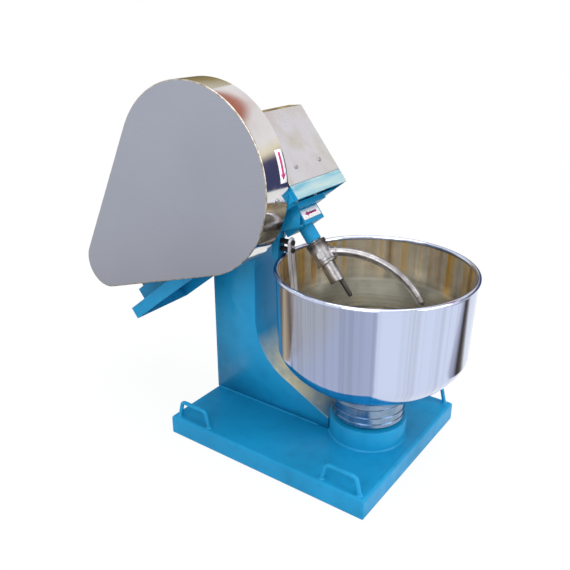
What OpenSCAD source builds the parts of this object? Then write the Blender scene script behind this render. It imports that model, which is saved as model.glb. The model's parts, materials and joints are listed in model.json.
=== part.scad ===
// Dough kneader with an inclined fork, a free-turning bowl and a belt-driven worm head.
// Millimetres. The origin is on the floor under the bowl's axis, +X points to the bowl's
// free side, +Z points up and the belt guard is on the -Y side.

/* [Base] */
// Length of the base, back to front
base_l = 611; // [585:1:690]
// Width of the base
base_w = 518; // [480:1:600]
// Height of the base
base_h = 55; // [48:1:72]
// Sheet thickness of the base pan
base_sheet = 4; // [3:0.5:6]
// Bend radius along the upper edges of the base
base_edge_r = 9; // [6:0.5:14]
// Distance from the bowl's axis to the front edge of the base
base_front = 136; // [125:1:180]
// Width of the box tubes under the pan
frame_tube_w = 50; // [40:1:70]
// Wall of the box tubes under the pan
frame_tube_wall = 3; // [2:0.5:5]

/* [Carry handles] */
// Rod diameter of a carry handle
handle_rod = 11; // [8:0.5:14]
// Height of a handle over the base, to the middle of its top bar
handle_h = 46; // [40:1:70]
// Straight length of a handle's top bar
handle_top = 62; // [50:1:100]
// Bend radius of a handle, to the middle of the rod
handle_bend = 13; // [10:0.5:18]
// Outward lean of a handle's legs, in degrees
handle_flare = 14; // [5:1:25]
// Distance from a handle's middle to the front or rear edge of the base
handle_from_end = 72; // [65:1:110]
// Distance from a handle's plane to the side edge of the base
handle_from_side = 16; // [12:1:30]

/* [Bowl] */
// Outer diameter of the bowl over its rim bead
bowl_d = 500; // [470:1:530]
// Diameter of the rim bead
bowl_bead = 12; // [8:0.5:16]
// Wall thickness of the bowl
bowl_wall = 2; // [1.5:0.25:4]
// How much narrower the wall is, in radius, where it turns into the dish
bowl_taper = 6; // [2:0.5:12]
// Height of the near-upright wall
bowl_wall_h = 201; // [180:1:230]
// Height of the dished bottom
bowl_dish_h = 110; // [100:1:125]
// Diameter of the flat bottom of the bowl
bowl_flat_d = 188; // [180:1:210]
// Roundness of the dish, where 1 is a cone and 2 is an ellipse
bowl_round = 1.5; // [1.3:0.05:1.8]
// Number of screws that hold the bowl on its hub
bowl_screw_count = 6; // [4:1:8]

/* [Bowl pedestal] */
// Outer diameter of the fixed pedestal
pedestal_d = 204; // [196:1:220]
// Height of the fixed pedestal over the base
pedestal_h = 55; // [54:1:70]
// Gap between the pedestal and the turning hub
hub_gap = 10; // [6:0.5:14]
// Height of the wide lower band of the turning hub
hub_band_h = 52; // [46:1:64]
// Height of the narrow neck of the turning hub
hub_neck_h = 33; // [24:1:44]
// Outer diameter of the lower band of the turning hub
hub_d = 190; // [180:1:200]
// Depth of the turned grooves in the hub
hub_groove = 2.5; // [1.5:0.25:4]
// Wall of the turning hub
hub_wall = 14; // [12:0.5:18]

/* [Bearings and shafts] */
// Diameter of the spindle, the kneader shaft and the worm shaft
shaft_d = 30; // [26:1:30]
// Outer diameter of the ball bearings
bearing_d = 62; // [60:1:68]
// Width of the ball bearings
bearing_w = 16; // [14:1:18]
// Radial clearance of a shaft that turns in a bearing
run_gap = 0.05; // [0.02:0.01:0.09]
// Radial clearance of a screw in its hole
hole_gap = 0.2; // [0.1:0.05:0.5]
// Clearance between pieces that turn past each other
turn_gap = 0.4; // [0.35:0.05:0.8]

/* [Column] */
// Width of the column over its side plates
column_w = 122; // [112:1:132]
// Thickness of the side plates
column_plate = 6; // [4:0.5:9]
// Thickness of the curved front skin and of the rear panel
column_skin = 4; // [3:0.5:6]
// Distance from the bowl's rim to the front of the column
throat_gap = 78; // [60:1:86]
// Radius of the lower curve of the throat
heel_r = 170; // [140:1:190]
// Slope of the toe that runs down to the pedestal, in degrees
heel_slope = 26.5; // [22:0.5:31]
// Radius of the upper curve of the throat
nose_r = 129; // [115:1:140]
// Slope of the underside of the nose, in degrees
nose_slope = 20; // [14:0.5:24]
// How far below the bowl's rim the upper curve starts
nose_drop = 55; // [45:1:62]
// Distance from the rear edge of the base to the back of the column
column_inset = 2; // [1:0.5:3]

/* [Head tray] */
// Slope of the head tray, in degrees
head_tilt = 38.5; // [37:0.5:40]
// Distance along the kneader's axis from the bowl's axis up to the tray
head_reach = 381; // [370:1:395]
// Height over the bowl's bottom where the kneader's axis passes the bowl's middle
focus_h = 123; // [115:1:135]
// Distance, level, from the column side of the bowl's rim to that crossing
focus_from_rim = 250; // [235:1:265]
// Length of the head tray
tray_l = 760; // [745:1:800]
// Width of the head tray
tray_w = 220; // [212:1:240]
// Depth of the head tray
tray_h = 37; // [34:1:48]
// Sheet thickness of the head tray
tray_sheet = 5; // [4:0.5:6]
// Distance along the tray from its front edge to the kneader's axis
tray_front = 105; // [100:1:115]
// Thickness of the saddle plate on top of the column
saddle_t = 10; // [8:0.5:14]
// Distance from the kneader's axis to the front edge of the saddle plate
saddle_front = 58; // [56:1:64]

/* [Worm drive] */
// Tooth module of the worm drive
gear_module = 4.5; // [4.3:0.05:4.6]
// Number of teeth on the worm wheel
wheel_teeth = 28; // [27:1:29]
// Number of threads on the worm
worm_starts = 2; // [2:1:2]
// Pitch diameter of the worm
worm_pitch_d = 50; // [47:0.5:52]
// Tooth thickness at the pitch line, as a share of half the pitch
tooth_share = 0.74; // [0.65:0.01:0.78]
// Face width of the worm wheel
wheel_w = 20; // [16:1:24]
// Length of the worm
worm_l = 56; // [48:1:64]
// Height of the worm's axis over the top of the tray
worm_h = 145; // [138:1:152]

/* [Gear cover] */
// Length of the gear cover along the tray
cover_l = 246; // [240:1:260]
// Height of the gear cover over the tray
cover_h = 214; // [205:1:230]
// Length of the slanted edge between the cover's front and top, along the tray
cover_edge_l = 31; // [20:1:45]
// Height of that slanted edge
cover_edge_h = 20; // [12:1:30]
// Sheet thickness of the gear cover
cover_sheet = 2; // [1:0.25:3]

/* [Kneader] */
// Outer diameter of the fixed sleeve round the kneader shaft
sleeve_d = 40; // [39:0.5:46]
// Distance from the tray to the lower end of the sleeve
sleeve_end = 93; // [85:1:100]
// Width of the bearing block under the saddle plate
block_w = 84; // [80:1:92]
// Length of the bearing block along the tray
block_l = 72; // [70:1:80]
// Thickness of the bearing block
block_t = 41; // [38:1:46]
// Diameter of the fork's clamp boss
fork_boss_d = 52; // [48:1:58]
// Length of the fork's clamp boss
fork_boss_l = 62; // [56:1:68]
// Diameter of the fork's lower stub
fork_stub_d = 39; // [36:0.5:44]
// Distance from the tray to the lower end of the stub
fork_stub_end = 212; // [205:1:219]
// Rod diameter of the fork's arm
fork_rod = 22; // [18:0.5:24]
// Diameter of the arm's thicker root at the boss
fork_root = 27; // [25:0.5:32]
// Bend radius of the fork's arm, to the middle of the rod
fork_bend = 236; // [225:1:245]
// Angle of the bend of the fork's arm, in degrees
fork_turn = 60; // [57:0.5:63]
// Distance from the kneader's axis to the arm's tip
fork_reach = 152; // [145:1:155]
// Distance from the tray to the end of the bend
fork_depth = 348; // [340:1:352]
// Straight length at the arm's tip
fork_tip = 13; // [8:1:16]
// Direction of the arm round the kneader's axis at rest, in degrees
fork_at = 30; // [0:5:60]
// Rod diameter of the short finger under the stub
finger_rod = 12; // [10:0.5:14]
// Free length of the short finger
finger_l = 44; // [30:1:60]

/* [Belt drive] */
// Pitch diameter of the large pulley
pulley_d = 380; // [370:1:390]
// Pitch diameter of the motor pulley
motor_pulley_d = 80; // [76:1:90]
// Distance along the tray between the two pulley shafts
belt_centres = 446; // [436:1:456]
// Top width of a belt
belt_w = 17; // [14:0.5:18]
// Depth of a belt
belt_h = 11; // [9:0.5:12]
// Distance between the two belts
belt_pitch = 20; // [19.5:0.5:22]

/* [Belt guard] */
// Radius of the large end of the guard
guard_r = 241; // [235:1:255]
// Radius of the small end of the guard
guard_small_r = 72; // [68:1:82]
// Depth of the guard
guard_depth = 84; // [78:1:92]
// Gap between the head tray and the open back of the guard
guard_gap = 8; // [6:1:12]
// Sheet thickness of the guard
guard_sheet = 2; // [1:0.25:3]

/* [Motor] */
// Height of the motor's shaft over its feet
motor_centre_h = 90; // [88:1:95]
// Diameter of the motor's frame without its fins
motor_frame_d = 158; // [150:1:162]
// Height of the cooling fins
motor_fin = 8; // [5:0.5:9]
// Length of the motor's frame
motor_frame_l = 150; // [140:1:170]
// Length of the slide rails under the motor
rail_l = 220; // [200:1:240]
// Height of the slide rails under the motor
rail_h = 44; // [38:1:50]
// Diameter of the motor's shaft
motor_shaft_d = 24; // [22:1:26]

/* [Scraper] */
// Width of the scraper bar
scraper_w = 30; // [24:1:36]
// Thickness of the scraper bar
scraper_t = 6; // [5:0.5:8]
// Length of the scraper bar below the rim of the bowl
scraper_drop = 130; // [90:1:150]
// Clearance between the scraper bar and the bowl's rim
scraper_gap = 5; // [4:0.5:6]
// Lean of the scraper bar inside the bowl, in degrees
scraper_lean = 7; // [4:0.5:8]
// Distance from the middle plane of the machine to the scraper bar
scraper_y = 40; // [30:1:40]

/* [Hidden] */
$fn = 96;
over = 1;
far = 2000;
bend_swell = 0.3;

paint_blue = [0.10, 0.53, 0.73];
steel = [0.72, 0.72, 0.75];
dark_steel = [0.40, 0.41, 0.43];
motor_grey = [0.36, 0.39, 0.42];
black_rubber = [0.08, 0.08, 0.08];

// Heights from the floor up
base_rear = base_front - base_l;
pedestal_top = base_h + pedestal_h;
hub_bottom = pedestal_top + hub_gap;
band_top = hub_bottom + hub_band_h;
bowl_bottom = band_top + hub_neck_h;
dish_top = bowl_bottom + bowl_dish_h;
rim_z = dish_top + bowl_wall_h;

// Bowl radii
rim_r = bowl_d / 2 - bowl_bead / 2 + bowl_wall / 2;
bead_inner_r = bowl_d / 2 - bowl_bead;
knee_r = rim_r - bowl_taper;
flat_r = bowl_flat_d / 2;
dish_steps = 14;

// Bowl fixings
bowl_screw_d = 8;
bowl_screw_head_d = 14;
bowl_screw_head_h = 4;
bowl_screw_l = 20;
hub_neck_set = 3;
hub_neck_r = flat_r - hub_neck_set;
bowl_screw_circle = hub_neck_r - hub_wall / 2;
hub_web_t = 15;
hub_groove_w = 3;
hub_groove_at = [0.22, 0.56];

// Spindle in its two bearings
bearing_lip = 4;
spindle_room = 12;
spindle_end = 3;
seal_h = 2.5;
seal_set = 0.5;
spindle_lower_z = base_h + spindle_room;
spindle_upper_z = pedestal_top - seal_h - seal_set - bearing_w;
spindle_collar_d = 44;
spindle_nut_d = 48;
spindle_nut_h = 8;
spindle_tail = 14;
pedestal_wall = 10;
pedestal_top_t = 14;
pedestal_edge = 4;
pedestal_sleeve_t = 11;
pedestal_sleeve_d = bearing_d + 2 * pedestal_sleeve_t;

// Column outline, in the X and Z plane
column_front = -(bowl_d / 2 + throat_gap);
column_rear = base_rear + column_inset;
heel_c = [column_front + heel_r, dish_top];
nose_c = [column_front + nose_r, rim_z - nose_drop];
column_in_w = column_w - 2 * column_plate;
weld_gap = 0.3;
toe_x = -sqrt(pow(pedestal_d / 2, 2) - pow(column_in_w / 2, 2)) - weld_gap;
throat_mid_z = (heel_c[1] + nose_c[1]) / 2;

// Head frame: its origin is where the kneader's axis leaves the underside of the tray
focus_x = focus_from_rim - bowl_d / 2;
head_x = focus_x - head_reach * sin(head_tilt);
head_z = bowl_bottom + focus_h + head_reach * cos(head_tilt);
tray_rear = tray_front - tray_l;
saddle_rear = (column_rear - head_x) / cos(head_tilt) - saddle_t * tan(head_tilt);
panel_top = head_z + (column_rear - head_x) * tan(head_tilt) - saddle_t / cos(head_tilt);
rib_w = 40;
rib_t = 5;
rib_places = [saddle_front - rib_w, -118, -225];
saddle_bolt_d = 10;
saddle_bolt_set = 14;
rib_bolt_at = 0.62;
saddle_bolt_y = column_in_w / 2 - saddle_bolt_set;

// Worm drive, in the head frame
wheel_r = gear_module * wheel_teeth / 2;
worm_r = worm_pitch_d / 2;
worm_p = -(wheel_r + worm_r);
worm_q = tray_h + worm_h;
worm_lead = PI * gear_module * worm_starts;
half_tooth = tooth_share * PI * gear_module / 4;
pressure = 20;
addendum = 0.95 * gear_module;
dedendum = 1.2 * gear_module;
wheel_bore_d = 86;
wheel_hub_d = 64;
wheel_hub_h = 34;
bracket_t = 18;
bracket_w = 84;
bracket_set = 34;
bracket_wall = 14;
bracket_y = tray_w / 2 - bracket_set;
bracket_top = bearing_d / 2 + bracket_wall;

// Kneader shaft, in the head frame
shaft_end = 6;
shaft_top_q = worm_q + wheel_hub_h / 2 + shaft_end;
upper_housing_h = 62;
upper_flange_d = 110;
upper_flange_t = 12;
housing_wall = 9;
upper_tube_d = bearing_d + 2 * housing_wall;
upper_bearing_q = tray_h + upper_housing_h - bearing_w;
block_top = -saddle_t;
block_cover = 5;
lower_bearing_q = block_top - block_cover - bearing_w;
seal_d = 36;
shaft_seal_h = 7;
fork_gap = 2;
clamp_at = 0.62;
fork_top = -(sleeve_end + fork_gap);
fork_bolt_q = fork_top - fork_boss_l * clamp_at;
fork_bolt_d = 12;
fork_stub_t = 16;
fork_bore_end = -(fork_stub_end - fork_stub_t);
finger_p = 11;
finger_seat = 10;
fit_gap = 0.02;
pass_gap = 7;

// Belt drive, in the head frame
guard_back_y = -(tray_w / 2 + guard_gap);
guard_face_y = guard_back_y - guard_depth;
pulley_y = (guard_back_y + guard_face_y) / 2;
pulley_side = 4;
pulley_w = belt_pitch + belt_w + 2 * pulley_side;
motor_q = tray_h + rail_h + motor_centre_h;
motor_p = worm_p - sqrt(pow(belt_centres, 2) - pow(worm_q - motor_q, 2));
belt_line = atan2(worm_q - motor_q, worm_p - motor_p);
belt_wrap = asin((pulley_d - motor_pulley_d) / 2 / belt_centres);
belt_side = 19;
belt_over = 4;
belt_slim = 0.06;
pulley_rim = 6;
pulley_rim_t = 8;
pulley_groove = 11;
pulley_hub_d = 78;
pulley_web_t = 12;
pulley_hole_d = 78;
pulley_hole_count = 5;

// Motor along Y, from its drive end
shield_l = 26;
cowl_l = 62;
cowl_sheet = 2;
motor_set = 22;
motor_drive_y = -(tray_w / 2 - motor_set);
motor_y0 = motor_drive_y + shield_l;
motor_y1 = motor_y0 + motor_frame_l;
motor_rear_y = motor_y1 + shield_l;
motor_r = motor_frame_d / 2;
motor_fin_count = 28;
motor_fin_t = 3;
fin_inset = 2;
foot_w = 176;
foot_l = 36;
foot_t = 12;
foot_set = 26;
foot_y = [motor_y0 + foot_set, motor_y1 - foot_set];
foot_p = 70;
rail_w = 46;
rail_t = 5;
motor_bolt_d = 8;
bolt_end = 6;
cowl_r = motor_r + motor_fin;
fan_gap = 6;
fan_y = motor_rear_y + fan_gap;
fan_w = 24;
fan_blades = 7;
rotor_d = 92;
rotor_air = 1;
shield_wall = 9;
shield_boss_d = 58;

// Scraper frame: its origin is at the rim's height on the bar's rear face
scraper_x = -sqrt(pow(bead_inner_r, 2) - pow(scraper_y + scraper_w / 2, 2)) + scraper_gap;
scraper_top = 50;
scraper_knee = -8;
scraper_bolt_d = 8;
scraper_bolt_z = [15, 36];
scraper_lug_x = -bowl_d / 2 - scraper_gap - scraper_x;
scraper_lug_t = 20;
scraper_lug_z = -14;
scraper_spacer_d = 14;
scraper_thread = 14;

// Small screws
screw_d = 6;
screw_head_d = 12;
screw_head_h = 3.5;
screw_end = 4;
tab_t = 4;
tab_w = 24;
tab_h = 54;
tab_screw_q = 40;
tab_set = 59;
cover_tab_y = tray_w / 2 - tab_set;
panel_screw_foot = 60;
panel_screw_drop = 50;
panel_strip = 18;
bracket_strap = 5;
bracket_sag = 0.6;
bracket_foot = 60;
bracket_toe = 6;
bracket_edge = 2;
bracket_bolts = [-46, -24];

// Shared shapes

module head() {
    translate([head_x, 0, head_z])
        rotate([0, -head_tilt, 0])
            children();
}

module box(low, high) {
    translate(low)
        cube(high - low);
}

module rod_z(d, z0, z1) {
    translate([0, 0, z0])
        cylinder(d = d, h = z1 - z0);
}

module along_y(p, y, q) {
    translate([p, y, q])
        rotate([-90, 0, 0])
            children();
}

// Extrude a drawing of the X and Z plane along Y, from y0 to y1
module plate_y(y0, y1) {
    translate([0, y1, 0])
        rotate([90, 0, 0])
            linear_extrude(y1 - y0)
                children();
}

// Hexagon bolt whose head sits on z = 0 and whose shank runs down
module hex_bolt(d, l) {
    cylinder(d = 1.85 * d, h = 0.65 * d, $fn = 6);
    rod_z(d, -l, over / 10);
}

// Round-headed screw whose head sits on z = 0 and whose shank runs down
module pan_screw(d, head_d, head_h, l) {
    cylinder(d1 = head_d, d2 = head_d * 0.72, h = head_h);
    rod_z(d, -l, over / 10);
}

module ring(outer, inner, z0, z1) {
    difference() {
        rod_z(outer, z0, z1);
        rod_z(inner, z0 - over, z1 + over);
    }
}

// Ball bearing: two races and a ring of shields between them
module ball_bearing(z0) {
    race = (bearing_d - shaft_d) / 2;
    lip = race * 0.28;
    shield = 1;
    difference() {
        ring(bearing_d, shaft_d + 2 * run_gap, z0, z0 + bearing_w);
        for (z = [z0 - over, z0 + bearing_w - shield])
            ring(bearing_d - 2 * lip, shaft_d + 2 * run_gap + 2 * lip, z, z + over + shield);
    }
}

// Base

module rounded_top(w, h, r) {
    translate([-w / 2, 0])
        square([w, h - r]);
    translate([-w / 2 + r, 0])
        square([w - 2 * r, h]);
    for (x = [-w / 2 + r, w / 2 - r])
        translate([x, h - r])
            circle(r);
}

module base_block(inset) {
    mid = (base_front + base_rear) / 2;
    r = base_edge_r - inset;
    intersection() {
        translate([mid, 0, 0])
            plate_y(-base_w / 2 + inset, base_w / 2 - inset)
                rounded_top(base_l - 2 * inset, base_h - inset, r);
        translate([mid - base_l / 2 + inset, 0, 0])
            rotate([90, 0, 90])
                linear_extrude(base_l - 2 * inset)
                    rounded_top(base_w - 2 * inset, base_h - inset, r);
    }
}

module base_pan() {
    color(paint_blue)
        difference() {
            base_block(0);
            base_block(base_sheet);
            box([base_rear + base_sheet, -base_w / 2 + base_sheet, -over],
                [base_front - base_sheet, base_w / 2 - base_sheet, over]);
        }
}

module box_tube(low, high, axis) {
    wall = frame_tube_wall;
    bore = [axis == 0 ? -over : wall, axis == 1 ? -over : wall, wall];
    difference() {
        box(low, high);
        box(low + bore, high - bore);
    }
}

module base_frame() {
    inner_r = base_edge_r - base_sheet;
    x0 = base_rear + base_sheet + inner_r;
    x1 = base_front - base_sheet - inner_r;
    rail_y = base_w / 4;
    top = base_h - base_sheet;
    half = frame_tube_w / 2;
    color(paint_blue) {
        for (side = [-1, 1])
            box_tube([x0, side * rail_y - half, 0], [x1, side * rail_y + half, top], 0);
        for (x = [0, (column_front + column_rear) / 2])
            box_tube([x - half, -rail_y + half, 0], [x + half, rail_y - half, top], 1);
    }
}

// Carry handles, bent from round rod

// One half of a handle, from the middle of its top bar at the origin down to its foot
module handle_half() {
    r = handle_bend;
    a = handle_top / 2;
    leg = (handle_h - r + r * sin(handle_flare)) / cos(handle_flare) + handle_rod;
    translate([-over, 0, 0])
        rotate([0, 90, 0])
            cylinder(d = handle_rod, h = a + 2 * over);
    translate([a, 0, -r])
        rotate([90, 0, 0])
            rotate([0, 0, handle_flare])
                rotate_extrude(angle = 90 - handle_flare)
                    translate([r, 0])
                        circle(d = handle_rod + bend_swell);
    translate([a + r * cos(handle_flare), 0, r * sin(handle_flare) - r])
        rotate([0, 180 - handle_flare, 0])
            rod_z(handle_rod, -over, leg);
}

module carry_handle(end, side) {
    x = end > 0 ? base_front - handle_from_end : base_rear + handle_from_end;
    y = side * (base_w / 2 - handle_from_side);
    color(paint_blue)
        difference() {
            translate([x, y, base_h + handle_h]) {
                handle_half();
                mirror([1, 0, 0])
                    handle_half();
            }
            box([x - far, y - far, base_h - far], [x + far, y + far, base_h]);
        }
}

module handle_front_near() {
    carry_handle(1, -1);
}

module handle_front_far() {
    carry_handle(1, 1);
}

module handle_rear_near() {
    carry_handle(-1, -1);
}

module handle_rear_far() {
    carry_handle(-1, 1);
}

// Column

// The open space in front of the column, grown by the thickness of a skin
module throat(grow) {
    heel_dir = [cos(heel_slope), -sin(heel_slope)];
    nose_dir = [cos(nose_slope), sin(nose_slope)];
    heel_end = heel_c - (heel_r + grow) * [sin(heel_slope), cos(heel_slope)];
    nose_end = nose_c + (nose_r + grow) * [-sin(nose_slope), cos(nose_slope)];
    translate(heel_c)
        circle(heel_r + grow, $fn = 180);
    translate(nose_c)
        circle(nose_r + grow, $fn = 180);
    polygon([heel_c, heel_end, heel_end + far * heel_dir,
        nose_end + far * nose_dir, nose_end, nose_c]);
    polygon([[column_front - grow, heel_c[1]], heel_c, nose_c, [column_front - grow, nose_c[1]]]);
}

// Outline of the whole column before the throat is cut away
module column_block() {
    nose_x = head_x + saddle_front * cos(head_tilt) + saddle_t * sin(head_tilt);
    nose_top = panel_top + (nose_x - column_rear) * tan(head_tilt);
    polygon([[column_rear, base_h], [column_rear, panel_top], [nose_x, nose_top],
        [nose_x, throat_mid_z], [toe_x, throat_mid_z], [toe_x, base_h]]);
}

module column_outline() {
    difference() {
        column_block();
        throat(0);
    }
}

module column_side(side) {
    outer = column_w / 2;
    inner = outer - column_plate;
    color(paint_blue)
        plate_y(side > 0 ? inner : -outer, side > 0 ? outer : -inner)
            column_outline();
}

module column_near_plate() {
    column_side(-1);
}

// The far plate stops behind the bearing block, so that the block's bolts can be reached
module column_far_plate() {
    difference() {
        column_side(1);
        head()
            box([-block_l / 2 - weld_gap, 0, -far], [far, far, 0]);
    }
}

module column_front_skin() {
    color(paint_blue)
        difference() {
            plate_y(-column_in_w / 2, column_in_w / 2)
                intersection() {
                    difference() {
                        throat(column_skin);
                        throat(0);
                    }
                    column_block();
                }
            rod_z(pedestal_d + 2 * weld_gap, -over, throat_mid_z);
            head() {
                box([-block_l / 2 - weld_gap, -block_w / 2 - weld_gap, -nose_r],
                    [block_l / 2 + weld_gap, block_w / 2 + weld_gap, 0]);
                box([-block_l / 2 - weld_gap, 0, -nose_r], [far, far, 0]);
            }
        }
}

function panel_screws() = let (low = base_h + panel_screw_foot,
        high = panel_top - panel_screw_drop)
    [for (y = [-1, 1], z = [low, (low + high) / 2, high])
        [column_rear, y * (column_in_w / 2 - panel_strip / 2), z]];

module column_rear_panel() {
    color(paint_blue)
        difference() {
            box([column_rear, -column_in_w / 2, base_h],
                [column_rear + column_skin, column_in_w / 2, panel_top]);
            for (place = panel_screws())
                translate(place - [over, 0, 0])
                    rotate([0, 90, 0])
                        cylinder(d = screw_d + 2 * hole_gap, h = column_skin + 2 * over);
        }
}

module rear_panel_screws() {
    color(steel)
        for (place = panel_screws())
            translate(place)
                rotate([0, -90, 0])
                    pan_screw(screw_d, screw_head_d, screw_head_h, column_skin + screw_end);
}

// Saddle plate between the column and the tray

function saddle_bolts_at() = [for (p = rib_places, y = [-saddle_bolt_y, saddle_bolt_y])
    [p + rib_w * rib_bolt_at, y, 0]];

module saddle_plate() {
    color(paint_blue)
        head()
            difference() {
                box([saddle_rear, -column_w / 2, -saddle_t], [saddle_front, column_w / 2, 0]);
                rod_z(shaft_d + 2 * pass_gap, -saddle_t - over, over);
                for (place = saddle_bolts_at())
                    translate(place)
                        rod_z(saddle_bolt_d + 2 * hole_gap, -saddle_t - over, over);
            }
}

module saddle_bolts() {
    color(dark_steel)
        head()
            for (place = saddle_bolts_at())
                translate(place + [0, 0, rib_t])
                    hex_bolt(saddle_bolt_d, saddle_t + rib_t);
}

// Head tray: a channel with its web on top, closed at both ends

function cover_tabs() = [for (y = [-cover_tab_y, cover_tab_y])
    [tray_front - cover_sheet - tab_t, y, tray_h]];

module head_tray() {
    inner = tray_w / 2 - tray_sheet;
    color(paint_blue)
        head() {
            difference() {
                box([tray_rear, -tray_w / 2, 0], [tray_front, tray_w / 2, tray_h]);
                box([tray_rear + tray_sheet, -inner, -over],
                    [tray_front - tray_sheet, inner, tray_h - tray_sheet]);
                rod_z(shaft_d + 2 * pass_gap, 0, tray_h + over);
                for (end = [guard_front_end(), guard_rear_end()])
                    bracket_bolt_holes(end);
            }
            for (place = cover_tabs())
                difference() {
                    box(place - [0, tab_w / 2, 0], place + [tab_t, tab_w / 2, tab_h]);
                    translate(place + [-over, 0, tab_screw_q])
                        rotate([0, 90, 0])
                            cylinder(d = screw_d + 2 * hole_gap, h = tab_t + 2 * over);
                }
        }
}

module tray_ribs() {
    inner = tray_w / 2 - tray_sheet;
    color(paint_blue)
        head()
            difference() {
                for (p = rib_places) {
                    box([p, -inner, 0], [p + rib_w, inner, rib_t]);
                    box([p, -inner, 0], [p + rib_t, inner, tray_h - tray_sheet]);
                }
                for (place = saddle_bolts_at())
                    translate(place)
                        rod_z(saddle_bolt_d + 2 * hole_gap, -over, rib_t + over);
                rod_z(shaft_d + 2 * pass_gap, -over, tray_h);
            }
}

// Gear cover

// Side view of the cover, set in by a sheet thickness and running down to the height low
function cover_outline(set_in, low) = let (rear = tray_front - cover_l,
        top = tray_h + cover_h,
        slant = set_in * norm([cover_edge_l, cover_edge_h]),
        edge_q = top - cover_edge_h + (set_in * cover_edge_h - slant) / cover_edge_l,
        edge_p = tray_front - (cover_edge_l * (cover_edge_h - set_in) + slant) / cover_edge_h)
    [[rear + set_in, low], [tray_front - set_in, low], [tray_front - set_in, edge_q],
        [edge_p, top - set_in], [rear + set_in, top - set_in]];

module gear_cover() {
    t = cover_sheet;
    half = tray_w / 2;
    color(steel)
        head()
            difference() {
                plate_y(-half, half)
                    polygon(cover_outline(0, tray_h));
                plate_y(-half + t, half - t)
                    polygon(cover_outline(t, tray_h - over));
                along_y(worm_p, -half - over, worm_q)
                    cylinder(d = shaft_d + 2 * pass_gap, h = t + 2 * over);
                for (place = cover_tabs())
                    translate(place + [0, 0, tab_screw_q])
                        rotate([0, 90, 0])
                            cylinder(d = screw_d + 2 * hole_gap, h = tab_t + t + over);
            }
}

module gear_cover_screws() {
    color(steel)
        head()
            for (place = cover_tabs())
                translate([tray_front, place[1], place[2] + tab_screw_q])
                    rotate([0, 90, 0])
                        pan_screw(screw_d, screw_head_d, screw_head_h,
                            cover_sheet + tab_t + screw_end);
}

// Bearings and housings of the kneader shaft

module upper_bearing_housing() {
    q = upper_bearing_q;
    color(dark_steel)
        head()
            difference() {
                union() {
                    rod_z(upper_flange_d, tray_h, tray_h + upper_flange_t);
                    rod_z(upper_tube_d, tray_h, tray_h + upper_housing_h);
                }
                rod_z(bearing_d + 2 * fit_gap, q, tray_h + upper_housing_h + over);
                rod_z(bearing_d - 2 * bearing_lip, tray_h - over, q + over);
            }
}

module kneader_bearings() {
    color(steel)
        head() {
            ball_bearing(upper_bearing_q);
            ball_bearing(lower_bearing_q);
        }
}

module lower_bearing_block() {
    color(paint_blue)
        head()
            difference() {
                box([-block_l / 2, -block_w / 2, block_top - block_t],
                    [block_l / 2, block_w / 2, block_top]);
                rod_z(bearing_d + 2 * fit_gap, lower_bearing_q, block_top + over);
                rod_z(shaft_d + 2 * turn_gap, block_top - block_t - over, block_top);
            }
}

module shaft_sleeve() {
    color(paint_blue)
        head()
            difference() {
                rod_z(sleeve_d, -sleeve_end, block_top - block_t);
                rod_z(shaft_d + 2 * turn_gap, -sleeve_end - over, 0);
                rod_z(seal_d, -sleeve_end - over, -sleeve_end + shaft_seal_h);
            }
}

module shaft_seal() {
    color(black_rubber)
        head()
            ring(seal_d, shaft_d + 2 * run_gap, -sleeve_end, -sleeve_end + shaft_seal_h);
}

// Worm brackets and bearings

module worm_brackets() {
    color(dark_steel)
        head()
            for (side = [-1, 1])
                difference() {
                    box([worm_p - bracket_w / 2, side * bracket_y - bracket_t / 2, tray_h],
                        [worm_p + bracket_w / 2, side * bracket_y + bracket_t / 2,
                            worm_q + bracket_top]);
                    along_y(worm_p, side * bracket_y - bracket_t / 2 - over, worm_q)
                        cylinder(d = bearing_d + 2 * fit_gap, h = bracket_t + 2 * over);
                }
}

module worm_bearings() {
    color(steel)
        head()
            for (side = [-1, 1])
                along_y(worm_p, side * bracket_y, worm_q)
                    ball_bearing(-bearing_w / 2);
}

// Belts and pulleys

function belt_half(r) = belt_w / 2 - (belt_over - r) * tan(belt_side);

// Cross-section of a belt about its pitch line, as radius and height
function belt_section(r, slim) = let (top = r + belt_over - slim,
        bed = r + belt_over - belt_h + slim,
        wide = belt_half(belt_over) - slim,
        narrow = belt_half(belt_over - belt_h) - slim)
    [[top, -wide], [top, wide], [bed, narrow], [bed, -narrow]];

function groove_section(r) = [[r + pulley_rim + over, -groove_half(pulley_rim + over)],
    [r + pulley_rim + over, groove_half(pulley_rim + over)],
    [r - pulley_groove, groove_half(-pulley_groove)],
    [r - pulley_groove, -groove_half(-pulley_groove)]];

function groove_half(r) = belt_half(r) + turn_gap / cos(belt_side);

module belt_arc(r, from, turn) {
    rotate([0, 0, from])
        rotate_extrude(angle = turn)
            polygon(belt_section(r, 0));
}

// Straight run from the large pulley to the motor pulley
module belt_run() {
    run = belt_centres * cos(belt_wrap);
    lap = 0.5;
    rotate([0, 0, 90 + belt_wrap])
        rotate([90, 0, 0])
            translate([0, 0, -run - lap])
                linear_extrude(run + 2 * lap)
                    polygon(belt_section(pulley_d / 2, belt_slim));
}

// One belt about the large pulley's centre, lying in the X and Y plane with the
// motor pulley's centre on -X
module belt_loop() {
    belt_arc(pulley_d / 2, -90 - belt_wrap, 180 + 2 * belt_wrap);
    translate([-belt_centres, 0, 0])
        belt_arc(motor_pulley_d / 2, 90 + belt_wrap, 180 - 2 * belt_wrap);
    belt_run();
    mirror([0, 1, 0])
        belt_run();
}

module at_large_pulley() {
    head()
        along_y(worm_p, pulley_y, worm_q)
            children();
}

module at_motor_pulley() {
    head()
        along_y(motor_p, pulley_y, motor_q)
            children();
}

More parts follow.
